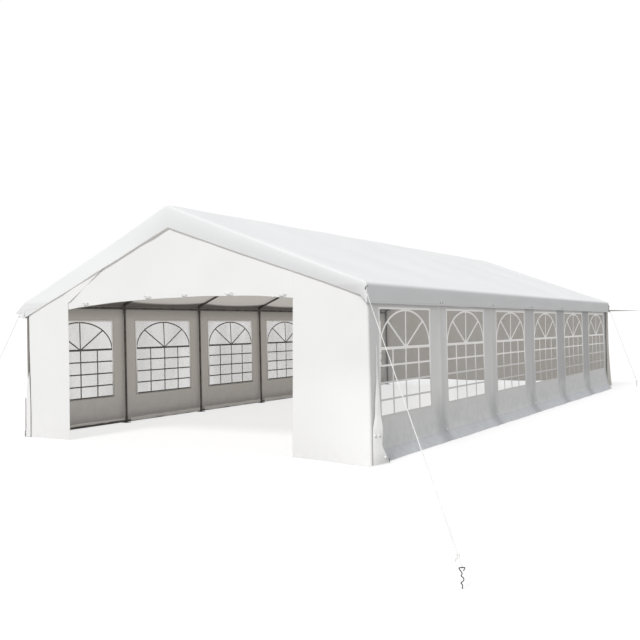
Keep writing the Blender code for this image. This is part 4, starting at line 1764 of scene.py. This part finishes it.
@dataclass
class GuyRopes:
    """Laid ropes from the cover's corners to the stakes, with a knot at each end and a short tail."""

    finishes: Finishes
    radius: float = 0.0042
    knot: float = 0.008
    knot_turns: int = 3
    knot_pitch: float = 0.008
    knot_places: tuple[float, float] = (0.075, 0.11)
    step: float = 0.006

    def build(self) -> None:
        """Make the four ropes."""
        for end in End:
            for side in Side:
                self._rope(end, side)

    def _rope(self, end: End, side: Side) -> None:
        """Make one rope on the place of its CAD node.

        Args:
            end: Front or back.
            side: Left or right.
        """
        word = f"{end.word}_{side.word}"
        low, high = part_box(f"guy_rope_{word}")
        far = (low, high)
        top = np.array([far[side is Side.LEFT].x, far[end is End.FRONT].y, high.z - self.radius])
        foot = np.array([far[side is Side.RIGHT].x, far[end is End.BACK].y, low.z + self.radius])
        line = (foot - top) / np.linalg.norm(foot - top)
        top, foot = top + line * 0.006, foot - line * 0.004
        lines = [np.linspace(top, foot, int(np.linalg.norm(foot - top) / 0.02))]
        aside = np.cross(line, (0, 0, 1.0))
        aside /= np.linalg.norm(aside)
        rise = np.cross(aside, line)
        start = foot - line * self.knot_places[1]
        for middle in (top + line * self.knot_places[0], start):
            turns = np.linspace(0, self.knot_turns, 40)
            coil = [middle + line * self.knot_pitch * (t - self.knot_turns / 2) + self.knot * 0.85 * (
                aside * math.cos(2 * math.pi * t) + rise * math.sin(2 * math.pi * t)) for t in turns]
            lines.append(smooth_path(coil, self.step))
        tail = [start, start + rise * -0.012 + line * 0.015, start + aside * 0.012 + np.array([0, 0, -0.022]),
                start + aside * 0.016 + np.array([0, 0, -0.040])]
        lines.append(smooth_path(tail, self.step))
        rope = LaidRope(radius=self.radius)
        rope.build(f"laid_rope_{word}", lines, self.finishes["rope"], f"guy_rope_{word}")


@dataclass
class RailHem:
    """Lower hem of a side wall, turned in over the ground rail between the legs."""

    plan: Plan
    finishes: Finishes
    side: Side
    top_z: float = 0.086
    low_z: float = 0.024
    inner_x: float = 2.9745
    gap: float = 0.075
    rows: int = 6

    def build(self) -> None:
        """Make the hem of every bay."""
        sheet = Sheet(f"rail_hem_{self.side.word}")
        for index, station in enumerate(self.plan.stations[:-1]):
            y = np.linspace(station + self.gap, station + self.plan.bay - self.gap, 60)
            wave = ripple(y, y * 0, 120 + index, 0.35)
            low = self.low_z + 0.010 * wave + (0.030 if index == 0 else 0.0)
            share, z = fill(low, self.top_z + 0.010 * ripple(y, y * 0, 130 + index, 0.5), self.rows)
            away = self.inner_x - 0.006 * np.sin(math.pi * share) - 0.003 * wave * (1 - share)
            grid = np.stack(np.broadcast_arrays(self.side.value * away, y, z), axis=2)
            sheet.add(grid, (-self.side.value, 0, 0))
        flat = (self.top_z - self.low_z, self.plan.bays * (self.plan.bay - 2 * self.gap))
        sheet.hang(self.finishes["side"], "wall_sheet", flat=flat, held="folded",
                   rests_on=[f"base_rail_{self.side.word}"])


@dataclass
class Fittings:
    """Small hardware that repeats along the frame and the edges of the sheets."""

    plan: Plan
    finishes: Finishes
    sleeve: float = 0.0235
    plate_z: float = 0.005
    plate_hole: float = 0.042
    toggle_y: float = 0.06
    bolt_heights: tuple[float, ...] = (0.098, 1.962)

    def build(self) -> None:
        """Make the bolts, pins, eyelets, toggles and corner ties."""
        plan = self.plan
        bolts, pins = Repeats(Small.BOLT, 0.0085), Repeats(Small.BOLT, 0.008)
        rings, balls = Repeats(Small.RING, 0.009), Repeats(Small.BALL, 0.012)
        loops = []
        for side in Side:
            sign = side.value
            wall = SideWall(plan, self.finishes, side)
            for station in plan.stations:
                for z in self.bolt_heights:
                    bolts.put((sign * (plan.half_width - self.sleeve), station, z), (-sign, 0, 0))
                for y in (-self.plate_hole, self.plate_hole):
                    pins.put((sign * (plan.half_width - self.plate_hole), station + y, self.plate_z),
                             (0, 0, 1))
                    if abs(station) < plan.half_length:
                        rings.put((sign * (plan.reach + 0.001), station + y, plan.valance_z + 0.035),
                                  side.out)
                if abs(station) < plan.half_length:
                    loops.append(self._toggle(wall, station + self.toggle_y, balls))
        bolts.build("frame_bolts", self.finishes["ring"], "galvanised_steel")
        pins.build("plate_pins", self.finishes["ring"], "galvanised_steel")
        rings.build("valance_eyelets", self.finishes["ring"], "roof_sheet")
        balls.build("skirt_balls", self.finishes["ball"], "wall_sheet")
        LaidRope(radius=0.0026, lay=0.014, step=0.007).build("skirt_elastic", loops, self.finishes["rope"])
        self._corner_ties()

    @staticmethod
    def _toggle(wall: SideWall, y: float, balls: Repeats) -> np.ndarray:
        """Put a ball on the skirt's fold and give the line of its elastic.

        Args:
            wall: The side wall.
            y: Place along the wall.
            balls: Collects the balls.

        Returns:
            The elastic's line.
        """
        sign = wall.side.value
        spots = [wall.place(np.array(y + dy), np.array(z), out)
                 for dy, z, out in ((-0.03, 0.21, 0.004), (-0.012, 0.185, 0.008), (0.0, 0.160, 0.010))]
        balls.put(spots[-1] + np.array([sign * 0.008, 0, -0.008]), wall.side.out)
        return smooth_path(spots, 0.007)

    def _corner_ties(self) -> None:
        """Dark tie at the cover's front right corner and peg at the front left foot."""
        plan = self.plan
        front = -plan.cover_end
        tie = [(3.062, front + 0.030, 1.990), (3.060, front - 0.004, 2.005), (3.070, front - 0.004, 2.030),
               (3.080, front + 0.030, 2.045)]
        peg = [(-3.074, -6.062, 0.0), (-3.074, -6.062, 0.085), (-3.066, -6.058, 0.110),
               (-3.060, -6.052, 0.60)]
        dark = self.finishes["dark"]
        LaidRope(radius=0.0045, lay=0.03, step=0.006).build("corner_tie", [smooth_path(tie)], dark)
        bare = LaidRope(radius=0.005, lay=0.9, step=0.01)
        bare.build("left_peg", [smooth_path(peg)], dark, slot="stake_steel")


@dataclass
class WindowBars:
    """Sewn bars of the windows of one wall: a border, an arch with three spokes and panes below."""

    wall: SideWall
    finishes: Finishes
    width: float = 0.022
    border: float = 0.024
    sill_width: float = 0.034
    spring_z: float = 1.308
    rows: int = 4
    columns: int = 4
    arch_steps: int = 36
    thick: float = 0.0062

    def lines(self) -> list[tuple[np.ndarray, float]]:
        """Middle lines of one window's bars, as places from the window's middle and heights.

        Returns:
            Each line with its width.
        """
        wall = self.wall
        half = wall.window_half
        low, high = wall.window_low, wall.window_high
        edge = self.border / 2
        found = [
            (self._straight((-half, low + edge), (half, low + edge)), self.border),
            (self._straight((-half, high - edge), (half, high - edge)), self.border),
            (self._straight((-half + edge, low), (-half + edge, high)), self.border),
            (self._straight((half - edge, low), (half - edge, high)), self.border),
            (self._straight((-half, self.spring_z), (half, self.spring_z)), self.sill_width),
            (self._straight((0, low), (0, self.spring_z)), self.width),
        ]
        pane = (self.spring_z - low) / self.rows
        for row in range(1, self.rows):
            height = low + pane * row
            found.append((self._straight((-half, height), (half, height)), self.width))
        for column in range(1, self.columns):
            if column * 2 != self.columns:
                place = half * (2 * column / self.columns - 1)
                found.append((self._straight((place, low), (place, self.spring_z)), self.width))
        span, rise = half - self.border, high - self.spring_z - self.border - 0.008
        turn = np.linspace(0, math.pi, self.arch_steps + 1)
        arch = np.stack([-span * np.cos(turn), self.spring_z + rise * np.sin(turn)], axis=1)
        found.append((arch, self.width))
        for angle in (0.25, 0.5, 0.75):
            tip = (-span * math.cos(math.pi * angle), self.spring_z + rise * math.sin(math.pi * angle))
            found.append((self._straight((0, self.spring_z), tip), self.width))
        return found

    @staticmethod
    def _straight(start: tuple[float, float], end: tuple[float, float]) -> np.ndarray:
        """Points along a straight bar, about every 80 mm."""
        first, last = np.array(start, float), np.array(end, float)
        cells = max(2, int(np.linalg.norm(last - first) / 0.08))
        return first + np.linspace(0, 1, cells + 1)[:, None] * (last - first)

    def build(self) -> Object:
        """Make the bars of all the windows of the wall.

        Returns:
            The finished piece.
        """
        wall = self.wall
        word = wall.side.word
        sheet = Sheet(f"window_bars_{word}", self.thick)
        for middle in wall.plan.middles:
            for index, (line, width) in enumerate(self.lines()):
                along = np.gradient(line, axis=0)
                along /= np.linalg.norm(along, axis=1)[:, None]
                aside = np.stack([-along[:, 1], along[:, 0]], axis=1) * width / 2
                strip = np.stack([line - aside, line + aside])
                out = 0.0012 + 0.00005 * index
                grid = wall.place(strip[:, :, 0] + middle, strip[:, :, 1], out)
                sheet.add(grid, wall.side.out)
        bars = sheet.build(self.finishes["bar"])
        # Faces in the openings that look into the tent take the dark finish, painted shade of bars seen
        # against the light.
        bars.data.materials.append(self.finishes["bar_inside"])
        low, high = wall.window_low + self.border, wall.window_high - self.border
        reach = wall.window_half - self.border
        for face in bars.data.polygons:
            middle = min(abs(face.center.y - place) for place in wall.plan.middles)
            above = face.center.z > low or wall.side is Side.LEFT
            inside = middle < reach and face.center.z < high and above
            face.material_index = 1 if inside and face.normal.x * wall.side.value < -0.5 else 0
        return adopt(bars, "window_film")


@dataclass
class Studio:
    """Camera, floor and light."""

    image: int = 640
    focal: float = 791.54
    eye: Triple = (7.4586, -14.0358, 1.5228)
    yaw: float = 32.3319
    pitch: float = 0.8761
    roll: float = -1.3221
    sensor: float = 36.0
    floor_half: float = 90.0
    floor_tone: float = 0.30
    floor_glow: tuple[float, float] = (0.19, 0.71)
    sky_glow: tuple[float, float] = (0.57, 1.02)
    sun_power: float = 2.10
    sun_spread: float = 16.0
    sun_way: Triple = (-0.02, -0.69, 0.72)
    sun_tone: Triple = (1.0, 0.99, 0.975)
    sky_tone: Triple = (0.97, 0.985, 1.0)
    bounce_tone: Triple = (1.0, 0.97, 0.93)

    def camera(self) -> None:
        """Stand the camera where the photograph was taken from."""
        data = bpy.data.cameras.new("camera")
        data.sensor_width = self.sensor
        data.lens = self.sensor * self.focal / self.image
        data.clip_end = 400
        yaw, pitch, roll = (math.radians(a) for a in (self.yaw, self.pitch, self.roll))
        forward = Vector((-math.sin(yaw) * math.cos(pitch), math.cos(yaw) * math.cos(pitch), math.sin(pitch)))
        level = Vector((math.cos(yaw), math.sin(yaw), 0))
        upright = level.cross(forward)
        right = math.cos(roll) * level + math.sin(roll) * upright
        up = -math.sin(roll) * level + math.cos(roll) * upright
        turn = Matrix((right, up, -forward)).transposed().to_4x4()
        obj = bpy.data.objects.new("camera", data)
        obj.matrix_world = Matrix.Translation(self.eye) @ turn
        bpy.context.scene.collection.objects.link(obj)
        bpy.context.scene.camera = obj

    def floor(self) -> None:
        """Lay a pale floor that glows a little, as a studio sweep does."""
        places = np.linspace(-self.floor_half, self.floor_half, 6)
        y, x = np.meshgrid(places, places)
        grid = np.stack([x, y, np.full(x.shape, -0.002)], axis=2)
        obj = new_object("studio_floor", Sheet("studio_floor").add(grid, (0, 0, 1)).mesh())
        surface = Surface("studio_floor", Base_Color=(*[self.floor_tone] * 3, 1), Roughness=1.0,
                          Specular_IOR_Level=0.0)
        graph = surface.graph
        seen = graph.node("ShaderNodeLightPath").outputs["Is Camera Ray"]
        glow = graph.node("ShaderNodeEmission", {0: graph.blend(seen, (*self.bounce_tone, 1), WHITE),
                                                 1: graph.remap(seen, 0, 1, *self.floor_glow)})
        total = graph.node("ShaderNodeAddShader", {0: surface.shader.outputs[0], 1: glow.outputs[0]})
        graph.link(total.outputs[0], surface.material.node_tree.nodes["Material Output"].inputs[0])
        obj.data.materials.append(surface.material)

    def light(self) -> None:
        """Soft sun from the front left and an even pale sky."""
        data = bpy.data.lights.new("sun", "SUN")
        data.energy = self.sun_power
        data.angle = math.radians(self.sun_spread)
        data.color = self.sun_tone
        sun = bpy.data.objects.new("sun", data)
        sun.rotation_mode = "QUATERNION"
        sun.rotation_quaternion = Vector(self.sun_way).to_track_quat("Z", "Y")
        bpy.context.scene.collection.objects.link(sun)
        world = bpy.data.worlds.new("sky")
        world.use_nodes = True
        graph = Graph(world.node_tree)
        back = world.node_tree.nodes["Background"]
        seen = graph.node("ShaderNodeLightPath").outputs["Is Camera Ray"]
        graph.link(graph.blend(seen, (*self.sky_tone, 1), WHITE), back.inputs[0])
        graph.link(graph.remap(seen, 0, 1, *self.sky_glow), back.inputs[1])
        bpy.context.scene.world = world
        bpy.context.scene.view_settings.view_transform = "Standard"

    def build(self) -> None:
        """Set the whole stage."""
        self.camera()
        self.floor()
        self.light()


def main() -> None:
    """Build the tent's looks in order."""
    logging.basicConfig(level=logging.INFO, format="%(name)s: %(message)s")
    for old in [o for o in bpy.context.scene.objects if o.type in ("CAMERA", "LIGHT") or o.name == "Cube"]:
        bpy.data.objects.remove(old)
    plan, finishes = Plan.from_frame(), Finishes()
    Studio().build()
    TubeFrame(finishes).build()
    RoofCover(plan, finishes).build()
    for side in Side:
        wall = SideWall(plan, finishes, side)
        wall.build()
        WindowBars(wall, finishes).build()
        RailHem(plan, finishes, side).build()
    for end in End:
        gable = EndWall(plan, finishes, end)
        gable.build()
        if end is End.FRONT:
            RolledDoor(gable, finishes).build()
    LooseCorner(finishes).build()
    GuyRopes(finishes).build()
    Fittings(plan, finishes).build()


if __name__ == "__main__":
    main()
